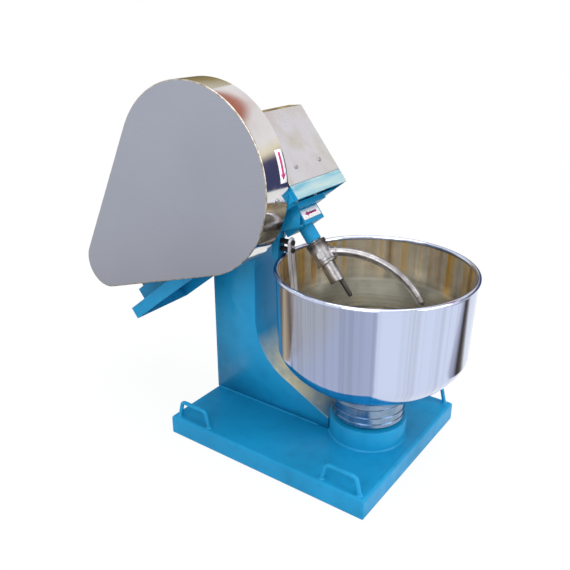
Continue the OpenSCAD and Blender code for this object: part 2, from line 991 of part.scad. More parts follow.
module v_belts() {
    color(black_rubber)
        at_large_pulley()
            rotate([0, 0, -belt_line])
                for (side = [-1, 1])
                    translate([0, 0, side * belt_pitch / 2])
                        belt_loop();
}

module pulley_grooves(d) {
    for (side = [-1, 1])
        translate([0, 0, side * belt_pitch / 2])
            rotate_extrude()
                polygon(groove_section(d / 2));
}

module large_pulley() {
    rim = pulley_d / 2 + pulley_rim;
    bed = pulley_d / 2 - pulley_groove - pulley_rim_t;
    color(dark_steel)
        at_large_pulley()
            difference() {
                union() {
                    ring(2 * rim, 2 * bed, -pulley_w / 2, pulley_w / 2);
                    rod_z(2 * bed + over, -pulley_web_t / 2, pulley_web_t / 2);
                    rod_z(pulley_hub_d, -pulley_w / 2, pulley_w / 2);
                }
                pulley_grooves(pulley_d);
                rod_z(shaft_d + 2 * fit_gap, -far, far);
                for (i = [0 : pulley_hole_count - 1])
                    rotate([0, 0, 360 / pulley_hole_count * i])
                        translate([(pulley_hub_d / 2 + bed) / 2, 0, 0])
                            rod_z(pulley_hole_d, -pulley_w, pulley_w);
            }
}

module motor_pulley() {
    color(dark_steel)
        at_motor_pulley()
            difference() {
                rod_z(motor_pulley_d + 2 * pulley_rim, -pulley_w / 2, pulley_w / 2);
                pulley_grooves(motor_pulley_d);
                rod_z(motor_shaft_d + 2 * fit_gap, -far, far);
            }
}

// Worm shaft, worm and worm wheel

module worm_shaft() {
    nose = 6;
    color(steel)
        head()
            along_y(worm_p, 0, worm_q)
                rod_z(shaft_d, pulley_y - pulley_w / 2 - nose, bracket_y + bracket_t / 2 + nose);
}

function thread_r(a) = let (gap = abs((a + 90) % 180 - 90) / 360 * worm_lead)
    min(addendum, max(-dedendum, (half_tooth - gap) / tan(pressure))) + worm_r;

module worm() {
    step = 20;
    bore = shaft_d + 1;
    turn = 360 * worm_l / worm_lead;
    color(steel)
        head()
            along_y(worm_p, -worm_l / 2, worm_q)
                rotate([0, 0, 90 - turn / 2])
                    linear_extrude(worm_l, twist = -turn, slices = ceil(turn / step), $fn = 18)
                        difference() {
                            polygon([for (a = [0 : step : 359]) thread_r(a) * [cos(a), sin(a)]]);
                            circle(d = bore, $fn = 18);
                        }
}

function tooth(a) = let (tip = half_tooth - addendum * tan(pressure),
        foot = half_tooth + dedendum * tan(pressure),
        outer = wheel_r + addendum,
        inner = wheel_r - dedendum)
    [for (e = [[inner, -foot], [outer, -tip], [outer, tip], [inner, foot]])
        e[0] * [cos(a + atan(e[1] / e[0])), sin(a + atan(e[1] / e[0]))]];

module worm_wheel() {
    lean = worm_lead / (PI * worm_pitch_d);
    turn = wheel_w * lean / wheel_r * 180 / PI;
    pitch = 360 / wheel_teeth;
    color([0.72, 0.53, 0.25])
        head()
            translate([0, 0, worm_q - wheel_w / 2])
                rotate([0, 0, 180 - turn / 2])
                    linear_extrude(wheel_w, twist = -turn, slices = 3)
                        difference() {
                            polygon([for (i = [0 : wheel_teeth - 1]) each tooth(pitch * i)]);
                            circle(d = wheel_bore_d, $fn = 48);
                        }
}

module wheel_hub() {
    seat = wheel_bore_d * cos(180 / 48) - 0.1;
    color(dark_steel)
        head()
            difference() {
                union() {
                    rod_z(seat, worm_q - wheel_w / 2, worm_q + wheel_w / 2);
                    rod_z(wheel_hub_d, worm_q - wheel_hub_h / 2, worm_q + wheel_hub_h / 2);
                }
                rod_z(shaft_d + 2 * fit_gap, 0, worm_q + far);
            }
}

// Kneader shaft and fork

module kneader_shaft() {
    color(steel)
        head()
            difference() {
                rod_z(shaft_d, fork_bore_end + 0.5, shaft_top_q);
                fork_bolt_hole();
            }
}

module fork_bolt_frame() {
    rotate([0, 0, fork_at - 90])
        translate([0, 0, fork_bolt_q])
            rotate([0, 90, 0])
                children();
}

module fork_bolt_hole() {
    fork_bolt_frame()
        rod_z(fork_bolt_d + 2 * hole_gap, -fork_boss_d, fork_boss_d);
}

// The fork's arm lies in a plane through the kneader's axis
module fork_arm() {
    centre_p = fork_reach - fork_bend;
    root_p = centre_p + fork_bend * cos(fork_turn);
    root_q = -fork_depth + fork_bend * sin(fork_turn);
    root_l = root_p / sin(fork_turn);
    rotate([0, 0, fork_at]) {
        translate([centre_p, 0, -fork_depth])
            rotate([90, 0, 0])
                rotate_extrude(angle = fork_turn)
                    translate([fork_bend, 0])
                        circle(d = fork_rod);
        translate([fork_reach, 0, -fork_depth])
            rod_z(fork_rod - 2 * bend_swell, -fork_tip, over);
        translate([fork_reach, 0, -fork_depth - fork_tip])
            sphere(d = fork_rod - bend_swell);
        translate([root_p, 0, root_q])
            rotate([0, -fork_turn, 0])
                rod_z(fork_root, -over, root_l);
    }
}

module kneading_fork() {
    boss_end = fork_top - fork_boss_l;
    color(dark_steel)
        head()
            difference() {
                union() {
                    rod_z(fork_boss_d, boss_end, fork_top);
                    rod_z(fork_stub_d, -fork_stub_end, boss_end);
                    fork_arm();
                }
                rod_z(shaft_d + 2 * fit_gap, fork_bore_end, fork_top + over);
                rod_z(far / 10, fork_top, far);
                fork_bolt_hole();
                finger_frame()
                    rod_z(finger_rod + 2 * fit_gap, 0, finger_seat);
            }
}

module finger_frame() {
    translate([finger_p, 0, -fork_stub_end])
        children();
}

module clamp_bolt() {
    color(steel)
        head()
            fork_bolt_frame()
                translate([0, 0, fork_boss_d / 2])
                    hex_bolt(fork_bolt_d, fork_boss_d);
}

module fork_finger() {
    color(dark_steel)
        head()
            finger_frame() {
                rod_z(finger_rod, -finger_l, finger_seat - 0.2);
                translate([0, 0, -finger_l])
                    sphere(d = finger_rod);
            }
}

// Belt guard

// Large circle, small circle and the two straight sides between them, whose ends lie just
// inside the circles so that the outlines cross
module guard_outline(inset) {
    c1 = [worm_p, worm_q];
    c2 = [motor_p, motor_q];
    r1 = guard_r - inset;
    r2 = guard_small_r - inset;
    slip = 0.05;
    lean = asin((guard_r - guard_small_r) / belt_centres);
    up = [cos(belt_line + 90 + lean), sin(belt_line + 90 + lean)];
    down = [cos(belt_line - 90 - lean), sin(belt_line - 90 - lean)];
    translate(c1)
        circle(r1, $fn = 180);
    translate(c2)
        circle(r2, $fn = 180);
    polygon([c1 + (r1 - slip) * up, c2 + (r2 - slip) * up,
        c2 + (r2 - slip) * down, c1 + (r1 - slip) * down]);
}

module guard_shell() {
    color(steel)
        head()
            difference() {
                plate_y(guard_face_y, guard_back_y)
                    guard_outline(0);
                plate_y(guard_face_y + guard_sheet, guard_back_y + over)
                    guard_outline(guard_sheet);
                for (end = [guard_front_end(), guard_rear_end()])
                    guard_screw_frame(end)
                        rod_z(screw_d + 2 * hole_gap, -2 * guard_sheet, over);
            }
}

// Where a bracket meets the guard's rim, halfway up the tray's side: a centre in the tray's
// plane, the rim's outward direction and the rim's distance from that centre
function guard_front_end() =
    [worm_p, worm_q, -asin((worm_q - tray_h / 2) / guard_r), guard_r];

function guard_rear_end() = let (lean = asin((guard_r - guard_small_r) / belt_centres),
        down = belt_line - 90 - lean,
        along = down + 90,
        back = (tray_h / 2 - motor_q - guard_small_r * sin(down)) / sin(along))
    [motor_p + back * cos(along), motor_q + back * sin(along), down, guard_small_r];

// Frame on the rim: +Z points out of the guard, +Y along the machine's Y
module guard_screw_frame(end) {
    translate([end[0], (guard_face_y + guard_back_y) / 2, end[1]])
        rotate([0, 90 - end[2], 0])
            translate([0, 0, end[3]])
                children();
}

function rim_p(end) = end[0] + end[3] * cos(end[2]);

module at_bracket_bolts(end) {
    for (shift = bracket_bolts)
        along_y(rim_p(end) + shift, -tray_w / 2 - tab_t, tray_h / 2)
            children();
}

module bracket_bolt_holes(end) {
    at_bracket_bolts(end)
        rod_z(screw_d + 2 * hole_gap, -over, tab_t + tray_sheet + over);
}

// Strap that follows the inside of the rim, on a foot that is screwed to the tray's side
module guard_bracket(end) {
    strap_y = guard_depth / 5;
    strap_z = -guard_sheet - bracket_sag;
    pad_y = -tray_w / 2 - tab_t;
    pad_p = rim_p(end);
    color(paint_blue)
        head()
            difference() {
                union() {
                    guard_screw_frame(end)
                        box([-tab_w / 2, -strap_y, strap_z - bracket_strap],
                            [tab_w / 2, pad_y + over - pulley_y, strap_z]);
                    box([pad_p - bracket_foot, pad_y, bracket_edge],
                        [pad_p + bracket_toe, -tray_w / 2, tray_h - bracket_edge]);
                }
                bracket_bolt_holes(end);
                guard_screw_frame(end)
                    rod_z(screw_d + 2 * hole_gap, -tab_h, tab_h);
            }
}

module guard_bracket_front() {
    guard_bracket(guard_front_end());
}

module guard_bracket_rear() {
    guard_bracket(guard_rear_end());
}

module guard_screws() {
    color(steel)
        head()
            for (end = [guard_front_end(), guard_rear_end()]) {
                guard_screw_frame(end)
                    pan_screw(screw_d, screw_head_d, screw_head_h,
                        guard_sheet + bracket_strap + screw_end);
                at_bracket_bolts(end)
                    rotate([180, 0, 0])
                        pan_screw(screw_d, screw_head_d, screw_head_h,
                            tab_t + tray_sheet + screw_end);
            }
}

// Motor

module at_motor() {
    head()
        along_y(motor_p, 0, motor_q)
            children();
}

module motor_foot(y) {
    box([motor_p - foot_w / 2, y - foot_l / 2, motor_q - motor_centre_h],
        [motor_p + foot_w / 2, y + foot_l / 2, motor_q - motor_centre_h + foot_t]);
    box([motor_p - foot_w / 3, y - foot_l / 2, motor_q - motor_centre_h],
        [motor_p + foot_w / 3, y + foot_l / 2, motor_q - motor_r / 2]);
}

function motor_bolts_at() = [for (p = [-foot_p, foot_p], y = foot_y)
    [motor_p + p, y, motor_q - motor_centre_h + foot_t]];

module motor_frame() {
    fin_r = motor_r + motor_fin;
    color(motor_grey)
        head()
            difference() {
                union() {
                    along_y(motor_p, motor_y0, motor_q)
                        cylinder(r = motor_r, h = motor_frame_l);
                    along_y(motor_p, motor_y0, motor_q)
                        for (i = [0 : motor_fin_count - 1])
                            rotate([0, 0, 360 / motor_fin_count * i])
                                box([0, -motor_fin_t / 2, fin_inset],
                                    [fin_r, motor_fin_t / 2, motor_frame_l - fin_inset]);
                    for (y = foot_y)
                        motor_foot(y);
                }
                along_y(motor_p, motor_y0 - over, motor_q)
                    cylinder(d = rotor_d + 2 * rotor_air, h = motor_frame_l + 2 * over);
                for (place = motor_bolts_at())
                    translate(place)
                        rod_z(motor_bolt_d + 2 * hole_gap, -foot_t - over, over);
                motor_box_seat();
            }
}

// End shield with its flat face on z = 0 and its hollow side towards the frame
module motor_shield() {
    difference() {
        rod_z(motor_frame_d, 0, shield_l);
        ring(motor_frame_d - 2 * shield_wall, shield_boss_d, shield_wall, shield_l + over);
        rod_z(motor_shaft_d + 2 * run_gap, -over, shield_l + over);
    }
}

module motor_drive_shield() {
    color(motor_grey)
        head()
            along_y(motor_p, motor_drive_y, motor_q)
                motor_shield();
}

module motor_rear_shield() {
    color(motor_grey)
        head()
            along_y(motor_p, motor_rear_y, motor_q)
                rotate([180, 0, 0])
                    motor_shield();
}

module motor_fan_cowl() {
    slot_count = 16;
    color(motor_grey)
        head()
            along_y(motor_p, motor_rear_y, motor_q)
                difference() {
                    rod_z(2 * cowl_r, -shield_l - fin_inset, cowl_l);
                    rod_z(2 * (cowl_r - cowl_sheet), -2 * shield_l, cowl_l - cowl_sheet);
                    for (i = [0 : slot_count - 1])
                        rotate([0, 0, 360 / slot_count * i])
                            box([cowl_r * 0.3, -3, cowl_l - 2 * cowl_sheet],
                                [cowl_r * 0.75, 3, cowl_l + over]);
                }
}

// Terminal box on the upper side of the motor
box_side = 88;
box_set = 30;
box_sink = 8;
box_rise = 46;
box_wall = 4;
box_lid = 5;
box_brim = 3;
box_low = [-box_side / 2, motor_y0 + box_set, motor_r - box_sink];
box_high = [box_side / 2, motor_y0 + box_set + box_side, motor_r + box_rise];

module motor_box_seat() {
    translate([motor_p, 0, motor_q])
        box(box_low - [hole_gap, hole_gap, 0], box_high + [hole_gap, hole_gap, 0]);
}

module terminal_box() {
    wall = [box_wall, box_wall, box_wall];
    color(motor_grey)
        head()
            translate([motor_p, 0, motor_q])
                difference() {
                    union() {
                        box(box_low, box_high);
                        box([box_low[0] - box_brim, box_low[1] - box_brim, box_high[2] - box_lid],
                            [box_high[0] + box_brim, box_high[1] + box_brim, box_high[2]]);
                    }
                    box(box_low + wall, box_high - [box_wall, box_wall, box_lid]);
                    gland_hole();
                }
}

gland_d = 20;
gland_l = 26;
gland_rise = 20;
gland_seat = 6;
gland_nut = 8;
gland_cap = 9;
gland_q = motor_r + gland_rise;

module gland_frame() {
    translate([box_low[0], (box_low[1] + box_high[1]) / 2, gland_q])
        rotate([0, -90, 0])
            children();
}

module gland_hole() {
    gland_frame()
        rod_z(gland_d + 2 * hole_gap, -gland_d, over);
}

module cable_gland() {
    cable_d = 9;
    color(black_rubber)
        head()
            translate([motor_p, 0, motor_q])
                gland_frame()
                    difference() {
                        union() {
                            rod_z(gland_d, -gland_seat, gland_l);
                            cylinder(d = gland_d * 1.5, h = gland_nut, $fn = 6);
                            translate([0, 0, gland_l - gland_cap])
                                cylinder(d = gland_d * 1.4, h = gland_cap, $fn = 6);
                        }
                        rod_z(cable_d, -far, far);
                    }
}

module motor_rails() {
    top = tray_h + rail_h;
    color(paint_blue)
        head()
            difference() {
                for (y = foot_y)
                    difference() {
                        box([motor_p - rail_l / 2, y - rail_w / 2, tray_h],
                            [motor_p + rail_l / 2, y + rail_w / 2, top]);
                        box([motor_p - far, y - rail_w / 2 + rail_t, tray_h - over],
                            [motor_p + far, y + rail_w / 2 - rail_t, top - rail_t]);
                    }
                for (place = motor_bolts_at())
                    translate([place[0], place[1], top])
                        rod_z(motor_bolt_d + 2 * hole_gap, -rail_h, over);
            }
}

module motor_bolts() {
    color(steel)
        head()
            for (place = motor_bolts_at())
                translate(place)
                    hex_bolt(motor_bolt_d, foot_t + rail_t + bolt_end);
}

module motor_rotor() {
    color(steel)
        at_motor() {
            rod_z(motor_shaft_d, pulley_y - pulley_w / 2, fan_y + fan_w);
            rod_z(rotor_d, motor_y0 + 12, motor_y1 - 12);
        }
}

module motor_fan() {
    blade_r = cowl_r - 8;
    hub_r = 22;
    disc_t = 3;
    blade_t = 3;
    color(black_rubber)
        at_motor()
            translate([0, 0, fan_y])
                difference() {
                    union() {
                        rod_z(2 * hub_r, 0, fan_w);
                        rod_z(2 * blade_r * 0.8, 0, disc_t);
                        for (i = [0 : fan_blades - 1])
                            rotate([0, 0, 360 / fan_blades * i])
                                box([hub_r - disc_t, -blade_t / 2, over],
                                    [blade_r, blade_t / 2, fan_w - over]);
                    }
                    rod_z(motor_shaft_d + 2 * fit_gap, -over, fan_w + over);
                }
}

// Scraper: a lug outside the bowl, and a bar inside it on two bolts that pass over the rim

module scraper_frame() {
    translate([scraper_x, -scraper_y, rim_z])
        children();
}

module at_scraper_bolts(x) {
    for (z = scraper_bolt_z)
        translate([x, 0, z])
            rotate([0, 90, 0])
                children();
}

module scraper_lug() {
    half = scraper_w / 2;
    color(paint_blue)
        difference() {
            intersection() {
                scraper_frame()
                    box([scraper_lug_x - scraper_lug_t, -half, scraper_lug_z],
                        [scraper_lug_x, half, far / 4]);
                plate_y(-column_in_w / 2, column_in_w / 2)
                    throat(-fit_gap);
            }
            scraper_frame()
                at_scraper_bolts(scraper_lug_x)
                    rod_z(scraper_bolt_d + 2 * hole_gap, -scraper_thread - over, over);
        }
}

module scraper_bar() {
    half = scraper_w / 2;
    rear_knee = [0, scraper_knee];
    front_knee = [scraper_t, scraper_knee + scraper_t * tan(scraper_lean / 2)];
    rear_end = rear_knee + (scraper_drop + scraper_knee) * [sin(scraper_lean), -cos(scraper_lean)];
    front_end = rear_end + scraper_t * [cos(scraper_lean), sin(scraper_lean)];
    color(steel)
        scraper_frame()
            difference() {
                plate_y(-half, half)
                    polygon([[0, scraper_top], [scraper_t, scraper_top], front_knee, front_end,
                        rear_end, rear_knee]);
                at_scraper_bolts(0)
                    rod_z(scraper_bolt_d + 2 * hole_gap, -over, scraper_t + over);
            }
}

module scraper_bolts() {
    color(steel)
        scraper_frame() {
            at_scraper_bolts(scraper_t)
                hex_bolt(scraper_bolt_d, scraper_t - scraper_lug_x + scraper_thread);
            at_scraper_bolts(0)
                rod_z(scraper_spacer_d, scraper_lug_x, 0);
        }
}

// Pedestal and bowl

module pedestal_housing() {
    r = pedestal_d / 2;
    color(paint_blue)
        difference() {
            rotate_extrude()
                polygon([[bearing_d / 2 - bearing_lip, base_h], [r, base_h],
                    [r, pedestal_top - pedestal_edge], [r - pedestal_edge, pedestal_top],
                    [bearing_d / 2 - bearing_lip, pedestal_top]]);
            ring(pedestal_d - 2 * pedestal_wall, pedestal_sleeve_d,
                base_h - over, pedestal_top - pedestal_top_t);
            rod_z(bearing_d + 2 * fit_gap, spindle_lower_z, pedestal_top + over);
        }
}

module spindle_bearings() {
    color(steel) {
        ball_bearing(spindle_lower_z);
        ball_bearing(spindle_upper_z);
        ring(bearing_d, bearing_d - 2 * bearing_lip,
            spindle_lower_z + bearing_w + hole_gap, spindle_upper_z - hole_gap);
    }
}

module dust_seal() {
    color(black_rubber)
        ring(bearing_d, spindle_collar_d + 2 * turn_gap,
            spindle_upper_z + bearing_w, spindle_upper_z + bearing_w + seal_h);
}

// Outline of the bowl's outer face, or of its inner face when it is set in by the wall
function dish_point(a, set_in) = [
    flat_r - set_in + (knee_r - flat_r) * pow(cos(a), 2 / bowl_round),
    dish_top + set_in / 2 - (bowl_dish_h - set_in / 2) * pow(sin(a), 2 / bowl_round)];

function bowl_face(set_in) = concat([[rim_r - set_in, rim_z]],
    [for (i = [0 : dish_steps]) dish_point(90 * i / dish_steps, set_in)]);

function reversed(points) = [for (i = [len(points) - 1 : -1 : 0]) points[i]];

module bowl() {
    outer = concat(bowl_face(0), [[0, bowl_bottom]]);
    inner = concat(bowl_face(bowl_wall), [[0, bowl_bottom + bowl_wall]]);
    color(steel)
        difference() {
            union() {
                rotate_extrude($fn = 180)
                    polygon(concat(outer, reversed(inner)));
                rotate_extrude($fn = 180)
                    translate([rim_r - bowl_wall / 2, rim_z])
                        circle(d = bowl_bead, $fn = 32);
            }
            bowl_screw_holes();
        }
}

module at_bowl_screws() {
    for (i = [0 : bowl_screw_count - 1])
        rotate([0, 0, 360 / bowl_screw_count * i])
            translate([bowl_screw_circle, 0, bowl_bottom + bowl_wall])
                children();
}

module bowl_screw_holes() {
    at_bowl_screws()
        rod_z(bowl_screw_d + 2 * hole_gap, -bowl_screw_l - over, over);
}

module bowl_screws() {
    color(steel)
        at_bowl_screws()
            pan_screw(bowl_screw_d, bowl_screw_head_d, bowl_screw_head_h, bowl_screw_l);
}

module bowl_hub() {
    r = hub_d / 2;
    inner_r = hub_neck_r - hub_wall;
    web = hub_bottom + hub_web_t;
    color(steel)
        difference() {
            rotate_extrude()
                polygon([[shaft_d / 2 + fit_gap, hub_bottom], [r, hub_bottom], [r, band_top],
                    [hub_neck_r, band_top], [hub_neck_r, bowl_bottom], [inner_r, bowl_bottom],
                    [inner_r, web], [shaft_d / 2 + fit_gap, web]]);
            for (share = hub_groove_at)
                translate([0, 0, hub_bottom + hub_band_h * share])
                    ring(2 * r + over, 2 * (r - hub_groove), 0, hub_groove_w);
            bowl_screw_holes();
        }
}

module bowl_spindle() {
    z0 = spindle_lower_z - spindle_nut_h - spindle_end;
    z1 = hub_bottom + hub_web_t + spindle_tail;
    color(steel) {
        rod_z(shaft_d, z0, z1);
        rod_z(spindle_collar_d, spindle_upper_z + bearing_w + turn_gap, hub_bottom);
    }
}

module spindle_nuts() {
    bore = shaft_d + 2 * fit_gap;
    top = hub_bottom + hub_web_t;
    color(dark_steel)
        for (z = [spindle_lower_z - spindle_nut_h - turn_gap, top])
            difference() {
                translate([0, 0, z])
                    cylinder(d = spindle_nut_d, h = spindle_nut_h, $fn = 6);
                rod_z(bore, z - over, z + spindle_nut_h + over);
            }
}

base_pan();
base_frame();
handle_front_near();
handle_front_far();
handle_rear_near();
handle_rear_far();
column_near_plate();
column_far_plate();
column_front_skin();
column_rear_panel();
rear_panel_screws();
saddle_plate();
saddle_bolts();
head_tray();
tray_ribs();
gear_cover();
gear_cover_screws();
upper_bearing_housing();
kneader_bearings();
lower_bearing_block();
shaft_sleeve();
shaft_seal();
worm_brackets();
worm_bearings();
v_belts();
guard_shell();
guard_bracket_front();
guard_bracket_rear();
guard_screws();
motor_frame();
motor_drive_shield();
motor_rear_shield();
motor_fan_cowl();
terminal_box();
cable_gland();
motor_rails();
motor_bolts();
scraper_lug();
scraper_bar();
scraper_bolts();
pedestal_housing();
spindle_bearings();
dust_seal();
bowl();
bowl_hub();
bowl_screws();
bowl_spindle();
spindle_nuts();
kneader_shaft();
worm_wheel();
wheel_hub();
kneading_fork();
clamp_bolt();
fork_finger();
worm_shaft();
worm();
large_pulley();
motor_rotor();
motor_pulley();
motor_fan();
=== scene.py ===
# Dough kneader with an inclined fork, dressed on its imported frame. Metres, Z up.
import json
import math

import bmesh
import bpy
from mathutils import Matrix, Vector


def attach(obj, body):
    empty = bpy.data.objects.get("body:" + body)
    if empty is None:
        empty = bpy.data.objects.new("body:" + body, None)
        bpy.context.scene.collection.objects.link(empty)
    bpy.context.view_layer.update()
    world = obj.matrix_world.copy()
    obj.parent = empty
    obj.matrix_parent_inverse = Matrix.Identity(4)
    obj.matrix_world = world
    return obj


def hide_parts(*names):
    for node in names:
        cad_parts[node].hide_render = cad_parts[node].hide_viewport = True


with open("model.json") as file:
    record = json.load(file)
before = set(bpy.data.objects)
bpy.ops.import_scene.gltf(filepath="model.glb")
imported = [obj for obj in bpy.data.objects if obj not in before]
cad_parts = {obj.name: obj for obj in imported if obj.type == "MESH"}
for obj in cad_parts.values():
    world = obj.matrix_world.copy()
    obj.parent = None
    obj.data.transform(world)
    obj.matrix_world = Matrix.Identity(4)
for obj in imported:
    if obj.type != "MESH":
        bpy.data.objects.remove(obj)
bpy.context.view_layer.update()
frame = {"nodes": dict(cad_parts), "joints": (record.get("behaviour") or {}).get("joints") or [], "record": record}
nodes = frame["nodes"]
joints = {joint["name"]: joint for joint in frame["joints"]}
body_of = {node: body for body, held in frame["record"]["behaviour"]["bodies"].items() for node in held}
slot_of = {part["node"]: part["material_slot"] for part in frame["record"]["subparts"]}

MM = 0.001


# Places taken from the frame

def joint_place(name):
    return Vector(joints[name]["pos_m"])


def head_frame():
    """Frame of the sloping tray: X up along the tray, Y across, Z along the kneader's axis."""
    up = Vector(joints["kneader_spin"]["axis"])
    across = Vector((0, 1, 0))
    along = across.cross(up)
    turn = Matrix((along, across, up)).transposed().to_4x4()
    return Matrix.Translation(joint_place("kneader_spin")) @ turn


HEAD = head_frame()
UPRIGHT = Matrix()


# Camera

CAMERA_PLACE = Vector((0.7163, -1.3831, 1.1226))
CAMERA_TARGET = Vector((-0.1716, -0.1402, 0.4817))
CAMERA_LENS = 42.95


def make_camera():
    camera = bpy.data.objects.new("camera", bpy.data.cameras.new("camera"))
    camera.data.lens = CAMERA_LENS
    camera.location = CAMERA_PLACE
    camera.rotation_euler = (CAMERA_TARGET - CAMERA_PLACE).to_track_quat("-Z", "Y").to_euler()
    bpy.context.scene.collection.objects.link(camera)
    bpy.context.scene.camera = camera


# Floor, surround, cards and lamps

WORLD_LIGHT = 0.86
FLOOR_R = 9.0
FLOOR_WHITE = 0.90
FLOOR_FADE = (0.9, 2.2)
CARD_LIFT = 3 * MM


def upright_at(x, y, z):
    """Stand of an upright card, its own Y pointing up."""
    return Matrix.Translation((x, y, z)) @ Matrix.Rotation(math.pi / 2, 4, "X")


def flat_at(x, y, turn):
    """Stand of a card that lies just over the floor, turned by some degrees."""
    return Matrix.Translation((x, y, CARD_LIFT)) @ Matrix.Rotation(math.radians(turn), 4, "Z")


# Each card has a stand, a size and its bands
CARDS = {
    "right_card": (upright_at(1.2, 2.5, 2.1), (6.0, 4.2), [
        (0.00, (0.06, 0.07, 0.16)), (0.33, (0.07, 0.07, 0.16)), (0.41, (0.92, 0.84, 0.62)),
        (0.52, (0.96, 0.95, 0.95)), (0.69, (0.95, 0.92, 0.92)), (0.74, (0.52, 0.18, 0.12)),
        (0.88, (0.56, 0.20, 0.13)), (1.00, (0.90, 0.82, 0.70))]),
    "left_card": (upright_at(-3.8, 2.5, 1.8), (4.0, 3.6), [
        (0.00, (0.45, 0.44, 0.40)), (0.30, (0.20, 0.16, 0.08)), (0.55, (0.34, 0.27, 0.12)),
        (0.75, (0.66, 0.62, 0.50)), (1.00, (0.95, 0.93, 0.88))]),
    "grey_mat": (flat_at(-0.32, -1.0, -58), (1.65, 1.6), [
        (0.00, (0.62, 0.60, 0.55)), (0.45, (0.62, 0.60, 0.56)), (0.65, (0.61, 0.63, 0.70)),
        (1.00, (0.61, 0.63, 0.70))]),
    "dark_mat": (flat_at(0.69, 0.73, 56), (0.9, 0.36), [
        (0.00, (0.80, 0.80, 0.85)), (0.30, (0.45, 0.43, 0.48)), (0.45, (0.05, 0.05, 0.05)),
        (0.75, (0.14, 0.10, 0.07)), (1.00, (0.70, 0.66, 0.60))]),
    "umber_mat": (flat_at(-1.05, -0.12, 0), (0.9, 0.9), [
        (0.00, (0.60, 0.56, 0.50)), (0.35, (0.20, 0.13, 0.08)), (0.55, (0.70, 0.55, 0.34)),
        (0.75, (0.10, 0.08, 0.06)), (1.00, (0.60, 0.50, 0.36))])}

# Each lamp has a place, an aim, a size and a power
LAMPS = {
    "key": ((0.6, -2.8, 2.4), (-0.2, 0, 0.4), (2.0, 2.0), 46),
    "front": ((2.9, 0.2, 1.6), (-0.1, 0, 0.3), (1.8, 1.8), 44),
    "top": ((-0.2, 0.2, 3.2), (-0.2, 0, 0.4), (2.2, 2.2), 36)}


def make_floor():
    bm = bmesh.new()
    bmesh.ops.create_circle(bm, cap_ends=True, radius=FLOOR_R, segments=96)
    mesh = bpy.data.meshes.new("floor")
    bm.to_mesh(mesh)
    bm.free()
    mesh.materials.append(floor_paper())
    floor = bpy.data.objects.new("floor", mesh)
    bpy.context.scene.collection.objects.link(floor)


def make_lamp(name, place, aim, size, power):
    lamp = bpy.data.objects.new(name, bpy.data.lights.new(name, "AREA"))
    lamp.data.shape = "RECTANGLE"
    lamp.data.size, lamp.data.size_y = size
    lamp.data.energy = power
    lamp.location = place
    lamp.rotation_euler = (Vector(aim) - Vector(place)).to_track_quat("-Z", "Y").to_euler()
    bpy.context.scene.collection.objects.link(lamp)


def seen_as_white(tree):
    """One for rays from the camera, from gloss and through glass; nought for the light on the object."""
    path = add_node(tree, "ShaderNodeLightPath")
    seen = path.outputs["Is Camera Ray"]
    for kind in ("Is Glossy Ray", "Is Transmission Ray"):
        either = add_node(tree, "ShaderNodeMath", operation="MAXIMUM")
        tree.links.new(seen, either.inputs[0])
        tree.links.new(path.outputs[kind], either.inputs[1])
        seen = either.outputs["Value"]
    return seen


def make_surround():
    """White to the camera and in metal; a soft even light on the object."""
    world = bpy.data.worlds.new("surround")
    bpy.context.scene.world = world
    world.use_nodes = True
    tree = world.node_tree
    light = tree.nodes["Background"]
    light.inputs["Color"].default_value = (0.98, 0.99, 1.0, 1)
    light.inputs["Strength"].default_value = WORLD_LIGHT
    white = add_node(tree, "ShaderNodeBackground")
    white.inputs["Color"].default_value = (1, 1, 1, 1)
    choose = add_node(tree, "ShaderNodeMixShader")
    tree.links.new(seen_as_white(tree), choose.inputs["Fac"])
    tree.links.new(light.outputs["Background"], choose.inputs[1])
    tree.links.new(white.outputs["Background"], choose.inputs[2])
    tree.links.new(choose.outputs["Shader"], tree.nodes["World Output"].inputs["Surface"])


def make_card(name, stand, size, stops):
    """A card that only shows in polished metal, with bands of colour along its own Y."""
    bm = bmesh.new()
    bmesh.ops.create_grid(bm, x_segments=1, y_segments=1, size=0.5)
    bmesh.ops.transform(bm, matrix=stand @ Matrix.Diagonal((*size, 1, 1)), verts=bm.verts)
    mesh = bpy.data.meshes.new(name)
    bm.to_mesh(mesh)
    bm.free()
    mesh.materials.append(card_paint(name, stand, size[1], stops))
    card = bpy.data.objects.new(name, mesh)
    card.visible_camera = False
    card.visible_diffuse = False
    card.visible_shadow = False
    bpy.context.scene.collection.objects.link(card)


def light_scene():
    bpy.context.scene.view_settings.view_transform = "Standard"
    make_surround()
    make_floor()
    for name, (stand, size, bands) in CARDS.items():
        make_card(name, stand, size, bands)
    for name, settings in LAMPS.items():
        make_lamp(name, *settings)


# Building blocks of the finishes

def add_node(tree, kind, **settings):
    node = tree.nodes.new(kind)
    for name, value in settings.items():
        setattr(node, name, value)
    return node


def new_finish(name, roughness, metallic=0.0):
    material = bpy.data.materials.new(name)
    material.use_nodes = True
    tree = material.node_tree
    surface = tree.nodes["Principled BSDF"]
    surface.inputs["Roughness"].default_value = roughness
    surface.inputs["Metallic"].default_value = metallic
    return material, tree, surface


def object_place(tree):
    return add_node(tree, "ShaderNodeTexCoord").outputs["Object"]


def stretched(tree, vector, scale, turn=(0, 0, 0)):
    mapping = add_node(tree, "ShaderNodeMapping")
    mapping.inputs["Scale"].default_value = scale
    mapping.inputs["Rotation"].default_value = turn
    tree.links.new(vector, mapping.inputs["Vector"])
    return mapping.outputs["Vector"]


def around_axis(tree, vector):
    """Flatten a place to its direction from the Z axis, so that a pattern runs straight up and down."""
    flat = stretched(tree, vector, (1.0, 1.0, 0.0))
    unit = add_node(tree, "ShaderNodeVectorMath", operation="NORMALIZE")
    tree.links.new(flat, unit.inputs[0])
    return unit.outputs["Vector"]


